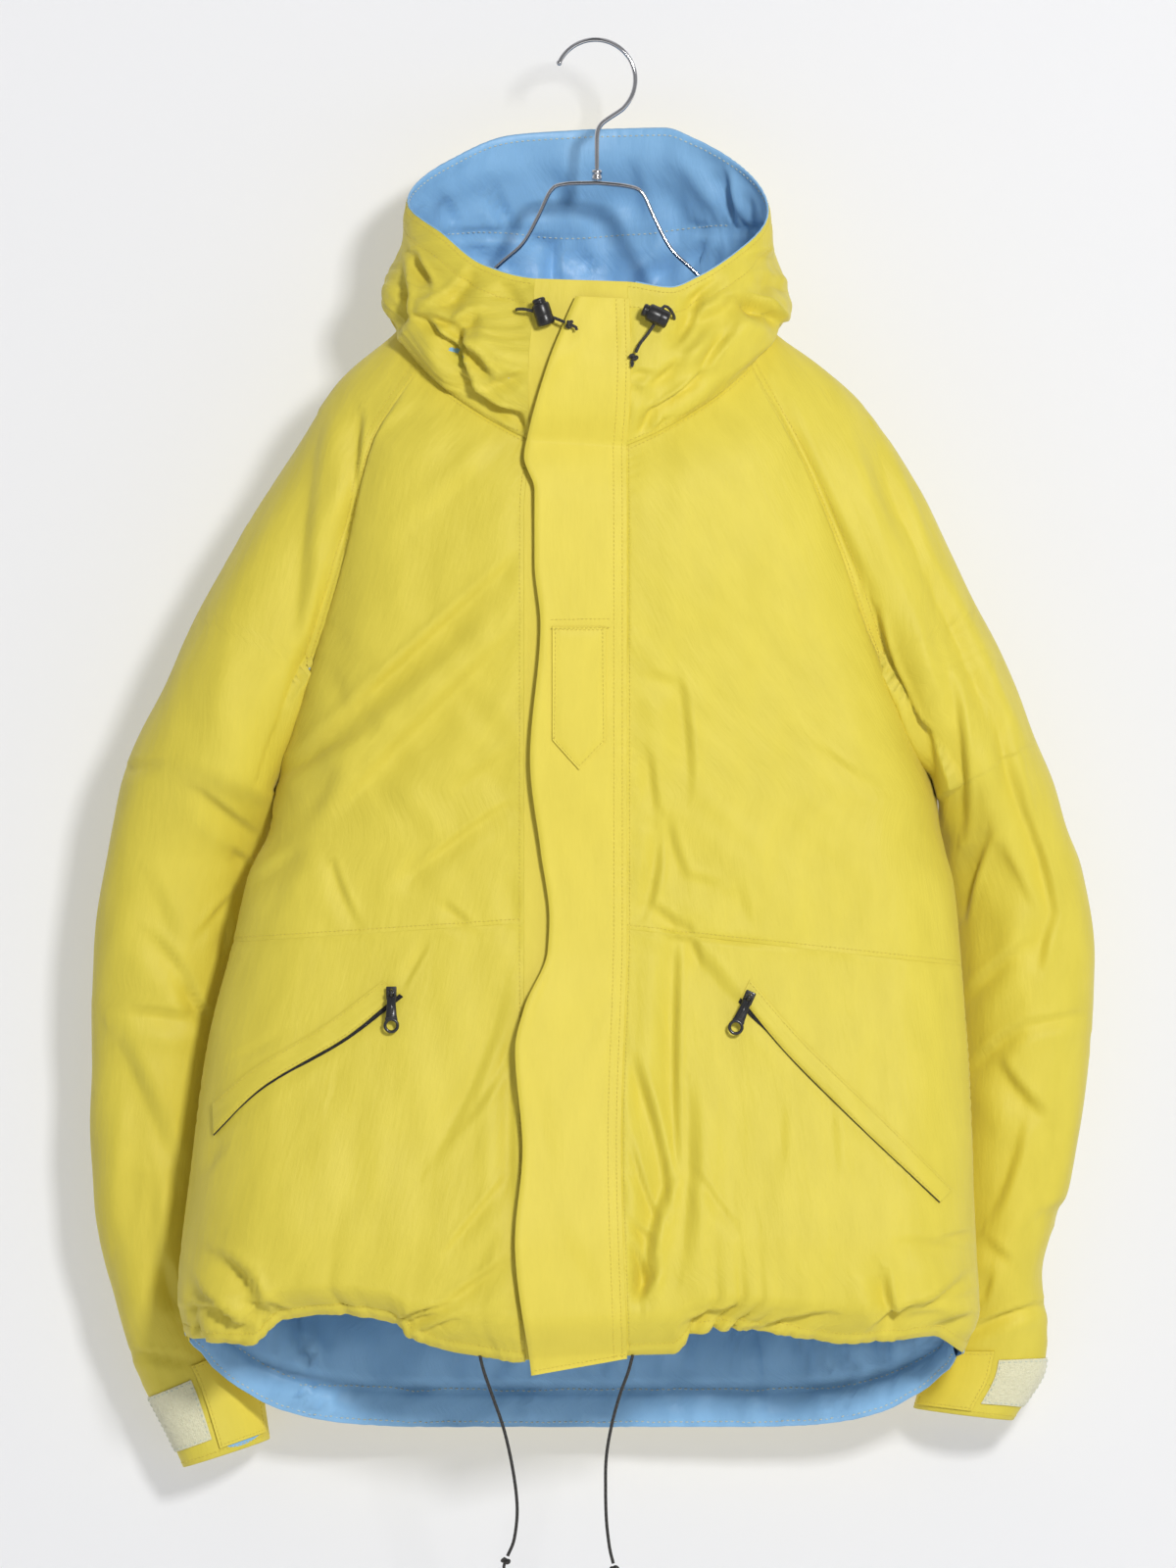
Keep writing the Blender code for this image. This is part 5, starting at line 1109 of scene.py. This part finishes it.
def make_sleeve(side):
    along, turn = sleeve_stations()
    base = sleeve_point(side, along[:, None], turn[None])
    inner = smooth(0.45, 1.0, np.abs(turn))[None] * smooth(ARMPIT, ARMPIT + 0.05, along)[:, None]
    tuck = SLEEVE_TUCK * np.exp(-((base[..., 2] - SLEEVE_TUCK_Z) / 38) ** 2) * inner
    base[..., 0] = base[..., 0] + (tuck if side == "right" else -tuck)
    middle = base[:, :-1].mean(axis=1, keepdims=True)
    sideways = np.array([1.0 if side == "left" else -1.0, 0, 0.6])
    flat_out = TO_BACK * np.sign(turn + 1e-6)[None, :, None] + sideways
    normal = facing(base, np.where((along <= ARMPIT)[:, None, None], flat_out, base - middle))
    ring = along > ARMPIT + 0.004
    shared = normal[ring, 0] + normal[ring, -1]
    shared = shared / np.maximum(np.linalg.norm(shared, axis=-1, keepdims=True), 1e-9)
    normal[ring, 0] = normal[ring, -1] = shared
    x, z = base[..., 0], base[..., 2]
    run, down = arc(base, 1), arc(base, 0)
    from_seam = np.minimum(run, run[:, -1:] - run)
    to_foot = down[-1:] - down
    seed = 61 if side == "right" else 71
    open_part = (along <= ARMPIT)[:, None]
    front = smooth(0.06, -0.06, turn)[None]
    creases = SLEEVE_CREASES[side]
    depth = FOLD_GAIN * crease_depth(creases, x, z) * front
    depth = depth + 0.85 * FOLD_GAIN * crease_depth(creases, x - 7, z + 16) * (1 - front)
    depth = depth + 1.4 * noise(run, z, 80, seed, 2.4) + 0.55 * noise(run, z, 30, seed + 1, 2.4)
    seam_fade = np.where(open_part, 1.0, 0.0)
    depth = depth - seam_fade * np.exp(-from_seam / 9.0) * 0.5 * gather(down, 8.0, seed + 2)
    depth = np.where(open_part, settle(depth, from_seam), depth * smooth(0, 10, from_seam))
    depth = settle(depth, down, 0.0)
    depth = depth * smooth(0, 5, to_foot) + 0.7 * np.exp(-((to_foot - CUFF_TURN) / 1.4) ** 2)
    grid = base - normal * depth[..., None]
    grid[ring, -1] = grid[ring, 0]
    name = "sleeve_" + side
    finished[name] = Surface(grid, facing(grid, normal))
    turned = [grid[-row] + (grid[-row, :-1].mean(axis=0) - grid[-row]) * inset + np.array([0, 0, lift])
              for row, inset, lift in ((1, 0.03, -0.6), (1, 0.06, 1.0), (4, 0.07, 0), (9, 0.08, 0))]
    shape = np.concatenate([grid, turned])
    outward = np.concatenate([normal, [normal[-1]] + 3 * [-normal[-1]]])
    made = grid_mesh(name + "_cloth", shape, (YELLOW, BLUE), outward, SHELL_WALL)
    return finish_object(made, "shell_cloth", name)


def on_sleeve(side, along, turn, out):
    """A place and normal on the finished sleeve, by the source's own station and turn."""
    grid, normal = finished["sleeve_" + side]
    alongs, turns = sleeve_stations()
    row, column = np.interp(along, alongs, np.arange(len(alongs))), np.interp(turn, turns, np.arange(len(turns)))
    r, c = min(int(row), len(alongs) - 2), min(int(column), len(turns) - 2)
    u, v = row - r, column - c

    def mix(values):
        return ((values[r, c] * (1 - u) + values[r + 1, c] * u) * (1 - v)
                + (values[r, c + 1] * (1 - u) + values[r + 1, c + 1] * u) * v)
    facing_out = mix(normal) / max(np.linalg.norm(mix(normal)), 1e-9)
    return mix(grid) + facing_out * out, facing_out


# ------------------------------------------------------------------ hood
def hood_turns(columns):
    span = OPENING["left"] - OPENING["right"]
    turns = OPENING["left"] + (360 - span) * np.linspace(0, 1, columns + 1)
    return np.where(turns > 180, turns - 360, turns)


FACING_SEAM = [(440, 240), (455, 235), (487, 232), (518, 233), (556, 237), (590, 238), (629, 235), (667, 233),
               (687, 230), (728, 226), (748, 226), (764, 228)]
LINING_ROWS = 44


def make_hood():
    turns = hood_turns(250)
    base = hood_point(turns[None], np.linspace(1, 0, 68)[:, None])
    angle = np.radians(turns)
    outward = stack(np.sin(angle), -np.cos(angle), 0 * angle)[None]
    normal = grid_normals(base)
    normal = normal * np.sign((normal * outward).sum())
    run, down = arc(base, 1), arc(base, 0)
    to_foot = down[-1:] - down
    from_edge = np.minimum(run, run[:, -1:] - run)
    x, z = base[..., 0], base[..., 2]
    front = smooth(104, 90, np.abs(turns))[None]
    depth = HOOD_GAIN * crease_depth(HOOD_CREASES, x, z) * front
    depth = depth + HOOD_BEHIND_GAIN * crease_depth(HOOD_BEHIND_CREASES, x, z) * (1 - front)
    depth = depth + 1.8 * noise(run, down, 62, 81, 1.2) + 0.7 * noise(run, down, 24, 82, 1.2)
    depth = depth * smooth(0, 9, down) * smooth(0, 8, to_foot) * smooth(0, 6, from_edge)
    depth = depth - 0.35 * np.exp(-down / 8) * gather(run, 7.0, 83)
    depth = depth - 0.5 * np.exp(-to_foot / 9.0) * gather(run, 9.0, 86)
    depth = settle(depth + 0.6 * np.exp(-((down - 17) / 1.3) ** 2), to_foot)
    grid = base - normal * depth[..., None]
    finished["hood"] = Surface(grid, facing(grid, normal))
    made = grid_mesh("hood_cloth", grid, (YELLOW, BLUE), normal, SHELL_WALL)
    finish_object(made, "shell_cloth", "hood")

    lining = grid - normal * (SHELL_WALL + 0.5)
    seam = np.array(FACING_SEAM, float)
    seam_z = (PIXEL_Z - np.interp(lining[..., 0] / PIXEL + PIXEL_X, seam[:, 0], seam[:, 1])) * PIXEL
    behind = smooth(80, 100, np.abs(turns))[None]
    near_seam = np.exp(-((lining[..., 2] - seam_z) / 2.0) ** 2) * behind
    slack = 5.0 + 1.6 * noise(run, down, 60, 84, 1.0) + 0.7 * noise(run, down, 26, 85, 1.0)
    slack = slack + 1.1 * gather(run, 10.0, 87) * np.exp(-np.abs(lining[..., 2] - seam_z) / 9.0) * behind
    slack = slack - HOOD_INSIDE_GAIN * crease_depth(HOOD_INSIDE_CREASES, lining[..., 0], lining[..., 2]) * behind
    ending = smooth(LINING_ROWS, LINING_ROWS - 16, np.arange(len(grid)))[:, None]
    slack = np.maximum(slack, 0.2) * (1 - 0.85 * near_seam) * smooth(0, 26, down) * ending
    lining = lining - normal * slack[..., None]
    shape = np.concatenate([(grid[0] + np.array([0, 0, 0.2]))[None],
                            (grid[0] + np.array([0, 0, 1.0]))[None] - normal[:1] * 0.6, lining[:LINING_ROWS]])
    inward = np.concatenate([normal[:1], -normal[:1] + np.array([0, 0, 1.0]), -normal[:LINING_ROWS]])
    finished["hood_lining"] = Surface(lining[:LINING_ROWS], facing(lining[:LINING_ROWS], -normal[:LINING_ROWS]))
    made = grid_mesh("hood_lining_cloth", shape[:, 2:-2], (BLUE,), inward[:, 2:-2], LINING_WALL)
    finish_object(made, "lining_cloth", "hood_lining")


def placket_lines(count):
    along = np.linspace(0, 1, count)
    right = settled_body_point("right", "front", along, np.ones_like(along))
    left = settled_body_point("left", "front", along, np.ones_like(along))
    up = np.linspace(1, 0, 24)[:-1]
    top_right = hood_point(np.full_like(up, OPENING["right"]), up)
    top_left = hood_point(np.full_like(up, OPENING["left"]), up)
    return np.concatenate([top_right, right]), np.concatenate([top_left, left])


def make_placket():
    right, left = placket_lines(200)
    parts = np.linspace(0, 1, 15)
    grid = right[:, None] * (1 - parts)[None, :, None] + left[:, None] * parts[None, :, None]
    grid = grid + stack(0, 0.6 * np.exp(-np.abs(parts - 0.5) * 9)[None], 0 * grid[..., 0])
    made = grid_mesh("zip_placket_cloth", grid, (YELLOW_FLAT_LIT, BLUE), TO_FRONT, SHELL_WALL)
    finish_object(made, "shell_cloth", "zip_placket")
    finished["zip_placket"] = Surface(grid, facing(grid, TO_FRONT))


FLAP_SHEET, FLAP_OVER = 0.9, 1.2


def make_storm_flap():
    right, left = placket_lines(280)
    top_left = hood_point(OPENING["left"], FLAP_TOP)
    top_right = hood_point(OPENING["right"], FLAP_TOP)
    keep = left[:, 2] < top_left[2]
    left = np.concatenate([top_left[None], left[keep], left[-1:] - np.array([[0, 0, FLAP_FOOT * 0.3]])])
    right = np.concatenate([top_right[None], right[keep], right[-1:] - np.array([[0, 0, FLAP_FOOT]])])
    free_x = read(STORM_FLAP, "free_x", -right[:, 2])
    stand_off = read(STORM_FLAP, "stand_off", -right[:, 2])
    parts = np.linspace(0, 1, 42)
    sewn_x = left[:, :1] + FLAP_OVER
    x = sewn_x + (free_x[:, None] - sewn_x) * parts[None]
    share = (x - left[:, :1]) / (right[:, :1] - left[:, :1])
    over = left[:, None] * (1 - share)[..., None] + right[:, None] * share[..., None]
    run, across = arc(over, 0), parts[None] * (left[:, :1] - free_x[:, None])
    from_edge = (1 - parts)[None] * (left[:, :1] - free_x[:, None])
    z = over[..., 2]
    depth = crease_depth(FLAP_CREASES, x, z) * smooth(1, 12, across)
    depth = depth + 0.6 * noise(x, z, 60, 91, 2.4) * parts[None] + 0.25 * gather(run, 7.5, 92) * np.exp(-across / 8)
    depth = depth + 0.25 * np.exp(-((across - 9.0) / 1.2) ** 2) + 0.2 * np.exp(-((across - 3.2) / 1.0) ** 2)
    depth = depth + 1.0 * smooth(2.2, 0.0, from_edge) - 0.5 * np.exp(-((from_edge - 4.0) / 3.0) ** 2)
    clear = 0.15 + 0.95 * smooth(0, 14, across)
    y = over[..., 1] - clear - FLAP_SHEET - stand_off[:, None] * parts[None] + depth
    grid = stack(x, y, z)
    finished["storm_flap"] = Surface(grid, facing(grid, TO_FRONT))
    made = grid_mesh("storm_flap_cloth", grid, (YELLOW_FLAT_LIT, YELLOW_FLAT_LIT), TO_FRONT, FLAP_SHEET)
    finish_object(made, "shell_cloth", "storm_flap")


for side in SIDES:
    make_front(side, "upper")
    make_front(side, "lower")
    make_sleeve(side)
make_back()
make_back_lining()
make_hood()
make_placket()
make_storm_flap()


# ------------------------------------------------------------------ small sewn pieces
TAB_FOOT = (-472.0, -492.0, -473.0)
TAB_POINT_X = -12.0
TAB_ROWS = 46
WELT_WALL, TAPE_WALL = 0.8, 0.6
flap_tree = surface_tree("storm_flap")


def make_flap_tab():
    """The pointed tab: laid on the flap, a little puffed between its stitched edges."""
    columns = np.concatenate([np.linspace(TAB_LEFT, TAB_POINT_X, 13), np.linspace(TAB_POINT_X, TAB_RIGHT, 13)[1:]])
    foot = np.interp(columns, (TAB_LEFT, TAB_POINT_X, TAB_RIGHT), TAB_FOOT)
    parts = np.linspace(0, 1, TAB_ROWS)
    xs = np.broadcast_to(columns, (TAB_ROWS, len(columns)))
    zs = TAB_TOP + (foot - TAB_TOP)[None] * parts[:, None]
    grid = laid_grid(flap_tree, xs, zs, 0.2 + FLAP_SHEET)
    edge = np.minimum(np.minimum(xs - TAB_LEFT, TAB_RIGHT - xs), np.minimum(TAB_TOP - zs, (zs - foot[None]) * 0.8))
    puff = 0.5 * smooth(1.0, 7.0, edge) - 0.35 * np.exp(-((edge - 2.2) / 0.8) ** 2) * 0.5
    grid = grid - stack(0 * puff, puff + 0.3 * smooth(-430, -490, zs), 0 * puff)
    finished["flap_tab"] = Surface(grid, facing(grid, TO_FRONT))
    made = grid_mesh("flap_tab_cloth", grid, (YELLOW_FLAT_LIT, YELLOW_FLAT_LIT), TO_FRONT, FLAP_SHEET)
    return finish_object(made, "shell_cloth", "flap_tab")


def make_pocket(side):
    """The welt, laid on the front, and the zip tape with its coil below the welt's edge. The tape is black like the
    real zip near the slider; along the rest of the pocket its narrow black strip past the welt's edge is painted
    shadow for the dark slit under the welt.
    """
    tree = surface_tree("front_lower_" + side)
    rows = POCKET[side]
    part = np.linspace(0, 1, 84)
    zip_line = np.stack([read(rows, "zip_x", part), read(rows, "zip_z", part)], -1)
    welt_line = np.stack([read(rows, "welt_x", part), read(rows, "welt_z", part)], -1)
    away = zip_line - welt_line
    away = away / np.linalg.norm(away, axis=-1, keepdims=True)
    edge = zip_line - away * 1.0
    across = np.linspace(0, 1, 12)
    flat = welt_line[:, None] * (1 - across)[None, :, None] + edge[:, None] * across[None, :, None]
    grid = laid_grid(tree, flat[..., 0], flat[..., 1], 0.15 + WELT_WALL)
    lift = 0.35 * np.sin(pi * across) ** 0.7 - 0.25 * (across > 0.97) + 0.12 * gather(arc(grid, 0), 8.0, 95)
    grid = grid - stack(0 * lift, lift, 0 * lift)
    finished["pocket_welt_" + side] = Surface(grid, facing(grid, TO_FRONT))
    made = grid_mesh(f"pocket_welt_{side}_cloth", grid, (YELLOW, YELLOW), TO_FRONT, WELT_WALL)
    finish_object(made, "shell_cloth", "pocket_welt_" + side)

    # Painted shadow: beyond the slider the tape is kept as a narrow black strip past the welt's edge, standing in for
    # the shade in the slit under the welt.
    if side == "right":
        width = 0.7 + 2.4 * (1 - part) ** 1.4
    else:
        width = 0.35 + 2.6 * smooth(0.22, 0.05, part)
    offsets = -0.7 + width[:, None] * np.linspace(0, 1, 6)[None]
    flat = zip_line[:, None] + away[:, None] * offsets[..., None]
    tape = laid_grid(tree, flat[..., 0], flat[..., 1], 0.75)
    made = grid_mesh(f"pocket_zip_{side}_tape", tape, (BLACK_TAPE,), TO_FRONT, TAPE_WALL)
    finish_object(made, "zip_tape", "pocket_zip_" + side)
    normal = facing(tape, TO_FRONT)
    shown = slice(0, 46 if side == "right" else 14)
    return [(tape[shown, 2], normal[shown, 2]), (tape[shown, 3], normal[shown, 3])]


def flat_plate(bm, place, outline, thickness):
    """A plate across its own Y with softened rims, from the half-outline of (half width, height) rows."""
    rows = []
    for y, inset in ((-0.5, 0.35), (-0.22, 0.0), (0.22, 0.0), (0.5, 0.35)):
        rows.append([bm.verts.new(place @ Vector((sign * max(half - inset, 0.1), y * thickness, height)))
                     for sign, part in ((1, outline), (-1, outline[::-1])) for half, height in part])
    for low_row, high_row in zip(rows, rows[1:]):
        for k in range(len(low_row)):
            n = (k + 1) % len(low_row)
            bm.faces.new((low_row[k], low_row[n], high_row[n], high_row[k]))
    bm.faces.new(rows[0][::-1])
    bm.faces.new(rows[-1])


def make_zip_slider(side):
    pin = Vector(PULL_PIN[side])
    place = Matrix.Translation(pin) @ Matrix.Rotation(radians(PULL_TILT[side]), 4, "Y")
    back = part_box("zip_slider_" + side)[1][1] / MM - pin.y
    bm = bmesh.new()
    bevelled_box(bm, place @ Matrix.Translation((0, back - 0.8, 0)), (7.0, 1.6, 9.0), 0.7)
    bevelled_box(bm, place @ Matrix.Translation((0, back - 1.7, -0.6)), (4.6, 0.9, 6.4), 0.4)
    for offset in (-2.1, 2.1):
        bevelled_box(bm, place @ Matrix.Translation((offset, back / 2 - 0.5, 0)), (1.2, back + 0.9, 3.0), 0.45)
    lathe(bm, place @ Matrix.Rotation(radians(90), 4, "Y"), [(0.6, -2.75), (0.85, -2.5), (0.85, 2.5), (0.6, 2.75)], 20)
    finish_object(form_object(f"zip_slider_{side}_body", bm, BLACK_ENAMEL), "zip_metal", "zip_slider_" + side)

    bm = bmesh.new()
    foot = PULL_LENGTH - PULL_RING - PULL_WIRE
    ring_form(bm, place @ Matrix.Rotation(radians(90), 4, "Y"), 2.1, 0.9)
    ring_place = place @ Matrix.Translation((0, 0, -foot)) @ Matrix.Rotation(radians(90), 4, "X")
    ring_form(bm, ring_place, PULL_RING, PULL_WIRE)
    low = foot - PULL_RING + 0.9
    outline = [(2.0, -2.0), (2.9, -3.2), (3.1, -8.0), (3.7, -low + 3.0), (4.3, -low + 0.6), (3.4, -low)]
    flat_plate(bm, place, outline, 1.5)
    flat_plate(bm, place, [(1.0, -5.0), (1.4, -5.6), (1.5, -low + 4.0), (0.9, -low + 3.4)], 2.0)
    made = form_object(f"zip_pull_{side}_tab", bm, BLACK_ENAMEL)
    return finish_object(made, "zip_metal", "zip_pull_" + side, body="pull_" + side)


def make_cuff(side):
    """The loop strip on the cuff's front, and the tab that closes over it."""
    def patch(turns, alongs, out, wall, look, name, slot):
        both = [[on_sleeve(side, along, turn, out + wall) for turn in turns] for along in alongs]
        grid = np.array([[place for place, _ in row] for row in both])
        normal = np.array([[out_there for _, out_there in row] for row in both])
        finished[name] = Surface(grid, facing(grid, normal))
        made = grid_mesh(name + "_cloth", grid, (look, look), normal, wall)
        return finish_object(made, slot, name)
    patch(np.linspace(0, -7 / 16, 30), np.linspace(0.962, 0.992, 10), 0.3, 0.9, CREAM_PILE,
          "cuff_strip_" + side, "hook_and_loop")
    patch(np.linspace(-8 / 16 + 0.03, -14 / 16, 26), np.linspace(0.955, 0.997, 12), 0.5, 1.2, YELLOW_FLAT_LIT,
          "cuff_tab_" + side, "shell_cloth")


make_flap_tab()
for side in SIDES:
    stitch_mesh(f"pocket_zip_{side}_coil", make_pocket(side), BLACK_ENAMEL, pitch=1.5, length=1.0,
                radius=0.42, lift=0.25, slot="zip_tape")
    make_zip_slider(side)
    make_cuff(side)
    make_cord_lock(side)


# ------------------------------------------------------------------ the cuts of the cloth
# The fields of a piece's cut: its width, length and area in metres, how it is held, and on what; no cuts are listed
# here
Cut = namedtuple("Cut", "width length area held rests_on")


# ------------------------------------------------------------------ stitches
def around(name, margin):
    """The line that runs round a finished piece, a margin inside its edge."""
    top = seam_line(name, 0, margin)
    foot = seam_line(name, 0, margin, from_end=True)
    first = seam_line(name, 1, margin)
    last = seam_line(name, 1, margin, from_end=True)
    return [top, foot, first, last]


yellow_lines, cream_lines = [], []
for side in SIDES:
    sleeve, upper, lower = "sleeve_" + side, "front_upper_" + side, "front_lower_" + side
    for distance in (2.4, 7.5):
        yellow_lines.append(seam_line(sleeve, 1, distance, part=(0, 0.385)))
        yellow_lines.append(seam_line(sleeve, 1, distance, from_end=True, part=(0, 0.385)))
    yellow_lines.append(seam_line(sleeve, 0, CUFF_TURN, from_end=True))
    yellow_lines.append(seam_line(sleeve, 0, 3.0, from_end=True))
    yellow_lines.append(seam_line(upper, 0, 3.0, from_end=True))
    yellow_lines.append(seam_line(upper, 0, 3.0))
    yellow_lines.append(seam_line(lower, 0, 7.5, from_end=True))
    yellow_lines.append(seam_line(lower, 1, 3.0, from_end=True))
    yellow_lines.append(seam_line(upper, 1, 3.0, from_end=True))
    yellow_lines += [seam_line("pocket_welt_" + side, 1, 1.6), seam_line("pocket_welt_" + side, 1, 1.6, from_end=True)]
    cream_lines += around("cuff_strip_" + side, 1.6)
    yellow_lines += around("cuff_tab_" + side, 2.0)
yellow_lines += [seam_line("back_panel", 0, HEM_TURN, from_end=True), seam_line("back_panel", 0, 3.0, from_end=True),
                 seam_line("back_panel", 0, 3.0), seam_line("storm_flap", 1, 3.2), seam_line("storm_flap", 1, 9.0),
                 seam_line("storm_flap", 0, 3.0, from_end=True), seam_line("hood", 0, 3.0, from_end=True),
                 seam_line("hood", 0, 3.5), seam_line("hood", 0, 17.0)]
yellow_lines += around("flap_tab", 2.2)
yellow_lines += [seen_line(flap_tree, [(561, 633), (590, 632.5), (623, 632)]),
                 seen_line(flap_tree, [(561, 642), (590, 641.5), (623, 641)], clearance=1.3)]
lining_tree = surface_tree("hood_lining")
cream_lines += [seam_line("hood_lining", 0, 4.0), seen_line(lining_tree, FACING_SEAM[1:-1]),
                seam_line("back_lining", 0, HEM_TURN, from_end=True), seam_line("back_lining", 0, 3.2, from_end=True)]
stitch_mesh("tonal_stitches", yellow_lines, YELLOW_THREAD, radius=0.28)
stitch_mesh("pale_stitches", cream_lines, CREAM_THREAD, pitch=3.9, length=2.5, radius=0.42, slot="lining_cloth")


# ------------------------------------------------------------------ hanger
def make_hanger():
    hook = [(HOOK_X + HOOK_TURN_RADIUS * cos(radians(turn)), 0,
             HOOK_Z + HOOK_TURN_RADIUS * sin(radians(turn))) for turn in range(HOOK_TIP, HOOK_END, -9)]
    hook += [(5.2, 0, -53.6), (1.6, 0, -57.6), (0.3, 0, -62), (0, 0, -68), (0, 0, -78), (0, 0, -86.2)]
    finish_object(tube("hanger_hook_wire", smooth_route(hook, 1.5), WIRE_RADIUS, CHROME, sides=6),
                  "hanger_chrome", "hanger_hook")
    bm = bmesh.new()
    tip = Vector(hook[0])
    away = (tip - Vector(hook[1])).normalized()
    lathe(bm, Matrix.Translation(tip - away * 0.4) @ away.to_track_quat("Z", "Y").to_matrix().to_4x4(),
          [(0.3, -2.0)] + [(2.05 * cos(radians(a)), 2.05 * sin(radians(a))) for a in range(-75, 90, 15)], 24)
    finish_object(form_object("hanger_hook_tip", bm, CHROME), "hanger_chrome")
    bm = bmesh.new()
    lathe(bm, Matrix.Identity(4), [(2.2, -86.4), (3.0, -86.5), (3.5, -86.9), (3.7, -87.6), (3.7, -88.6), (3.45, -88.9),
                                   (3.45, -91.1), (3.7, -91.4), (3.7, -92.6), (3.4, -93.2), (2.6, -93.5)])
    finish_object(form_object("hanger_ferrule_turned", bm, CHROME), "hanger_chrome", "hanger_ferrule")
    arm = smooth_route([(x, 0, z) for x, z in ARM], 4.0)
    across = [(-point.x, point.z) for point in arm[:0:-1]] + [(point.x, point.z) for point in arm]
    front = [Vector((x, -ARM_SPACING, z - ARM_LEAN * x)) for x, z in across]
    back = [Vector((place.x, ARM_SPACING, place.z)) for place in reversed(front)]
    turns = [radians(angle) for angle in range(15, 180, 15)]
    left_bend = [front[-1] + Vector((3.0 * sin(a), ARM_SPACING - ARM_SPACING * cos(a), -3.6 * sin(a))) for a in turns]
    right_bend = [front[0] + Vector((-3.0 * sin(a), ARM_SPACING + ARM_SPACING * cos(a), -3.4 * sin(a))) for a in turns]
    wire = tube("hanger_wire_bent", front + left_bend + back + right_bend, ARM_RADIUS, CHROME, cyclic=True, sides=5)
    finish_object(wire, "hanger_chrome", "hanger_wire")


make_hanger()


# ------------------------------------------------------------------ stage and light
def stage_plane(name, size, location, rotation, look):
    bm = bmesh.new()
    bmesh.ops.create_grid(bm, x_segments=1, y_segments=1, size=size / 2)
    mesh = bpy.data.meshes.new(name)
    bm.to_mesh(mesh)
    bm.free()
    made = add(name, mesh, look)
    made.location = location
    made.rotation_euler = rotation
    return made


def one_sided(name, colour, glow=0.0):
    """A wall that shows from the front only, so that the back of the garment can be seen."""
    made, tree, shader = node_tree(name)
    shader.inputs["Base Color"].default_value = (*colour, 1)
    shader.inputs["Roughness"].default_value = 0.9
    shader.inputs["Specular IOR Level"].default_value = 0.2
    shader.inputs["Emission Color"].default_value = (0.965, 0.975, 1.0, 1)
    shader.inputs["Emission Strength"].default_value = glow
    facing_away = tree.nodes.new("ShaderNodeNewGeometry")
    clear = tree.nodes.new("ShaderNodeBsdfTransparent")
    mix = tree.nodes.new("ShaderNodeMixShader")
    tree.links.new(facing_away.outputs["Backfacing"], mix.inputs["Fac"])
    tree.links.new(shader.outputs["BSDF"], mix.inputs[1])
    tree.links.new(clear.outputs["BSDF"], mix.inputs[2])
    tree.links.new(mix.outputs["Shader"], tree.nodes["Material Output"].inputs["Surface"])
    return made


STAGE_SIZE = 9.0
wall_look = one_sided("white_wall", (0.50, 0.50, 0.51), 0.36)
wall = stage_plane("wall", STAGE_SIZE, (0, WALL_Y, -0.5), (radians(90), 0, 0), wall_look)
wall.visible_shadow = False
stage_plane("floor", STAGE_SIZE, (0, -2.0, -1.75), (0, 0, 0), one_sided("pale_floor", (0.80, 0.80, 0.80)))


def area_light(name, location, target, size, power, colour=(1, 1, 1)):
    data = bpy.data.lights.new(name, "AREA")
    data.shape = "RECTANGLE"
    data.size, data.size_y = size
    data.energy = power
    data.color = colour
    light = bpy.data.objects.new(name, data)
    light.location = location
    light.rotation_euler = (Vector(target) - Vector(location)).to_track_quat("-Z", "Y").to_euler()
    bpy.context.scene.collection.objects.link(light)


area_light("key", (1.2, -3.8, 0.75), (0, 0, -0.5), (0.55, 0.55), 118, (1.0, 0.995, 0.985))
area_light("rear", (0.0, 4.2, 0.1), (0, 0, -0.5), (1.2, 1.2), 42)
world = bpy.data.worlds.new("studio")
world.use_nodes = True
studio = world.node_tree
background = studio.nodes["Background"]
bands = studio.nodes.new("ShaderNodeTexWave")
bands.inputs["Scale"].default_value = 0.55
bands.inputs["Distortion"].default_value = 0.4
coords = studio.nodes.new("ShaderNodeTexCoord")
studio.links.new(coords.outputs["Generated"], bands.inputs["Vector"])
bright = ramp(studio, bands.outputs["Fac"], 0.18, 0.42, (0.30, 0.30, 0.31), (1.0, 1.01, 1.03))
studio.links.new(bright, background.inputs["Color"])
background.inputs["Strength"].default_value = 0.42
bpy.context.scene.world = world
bpy.context.scene.view_settings.view_transform = "Standard"
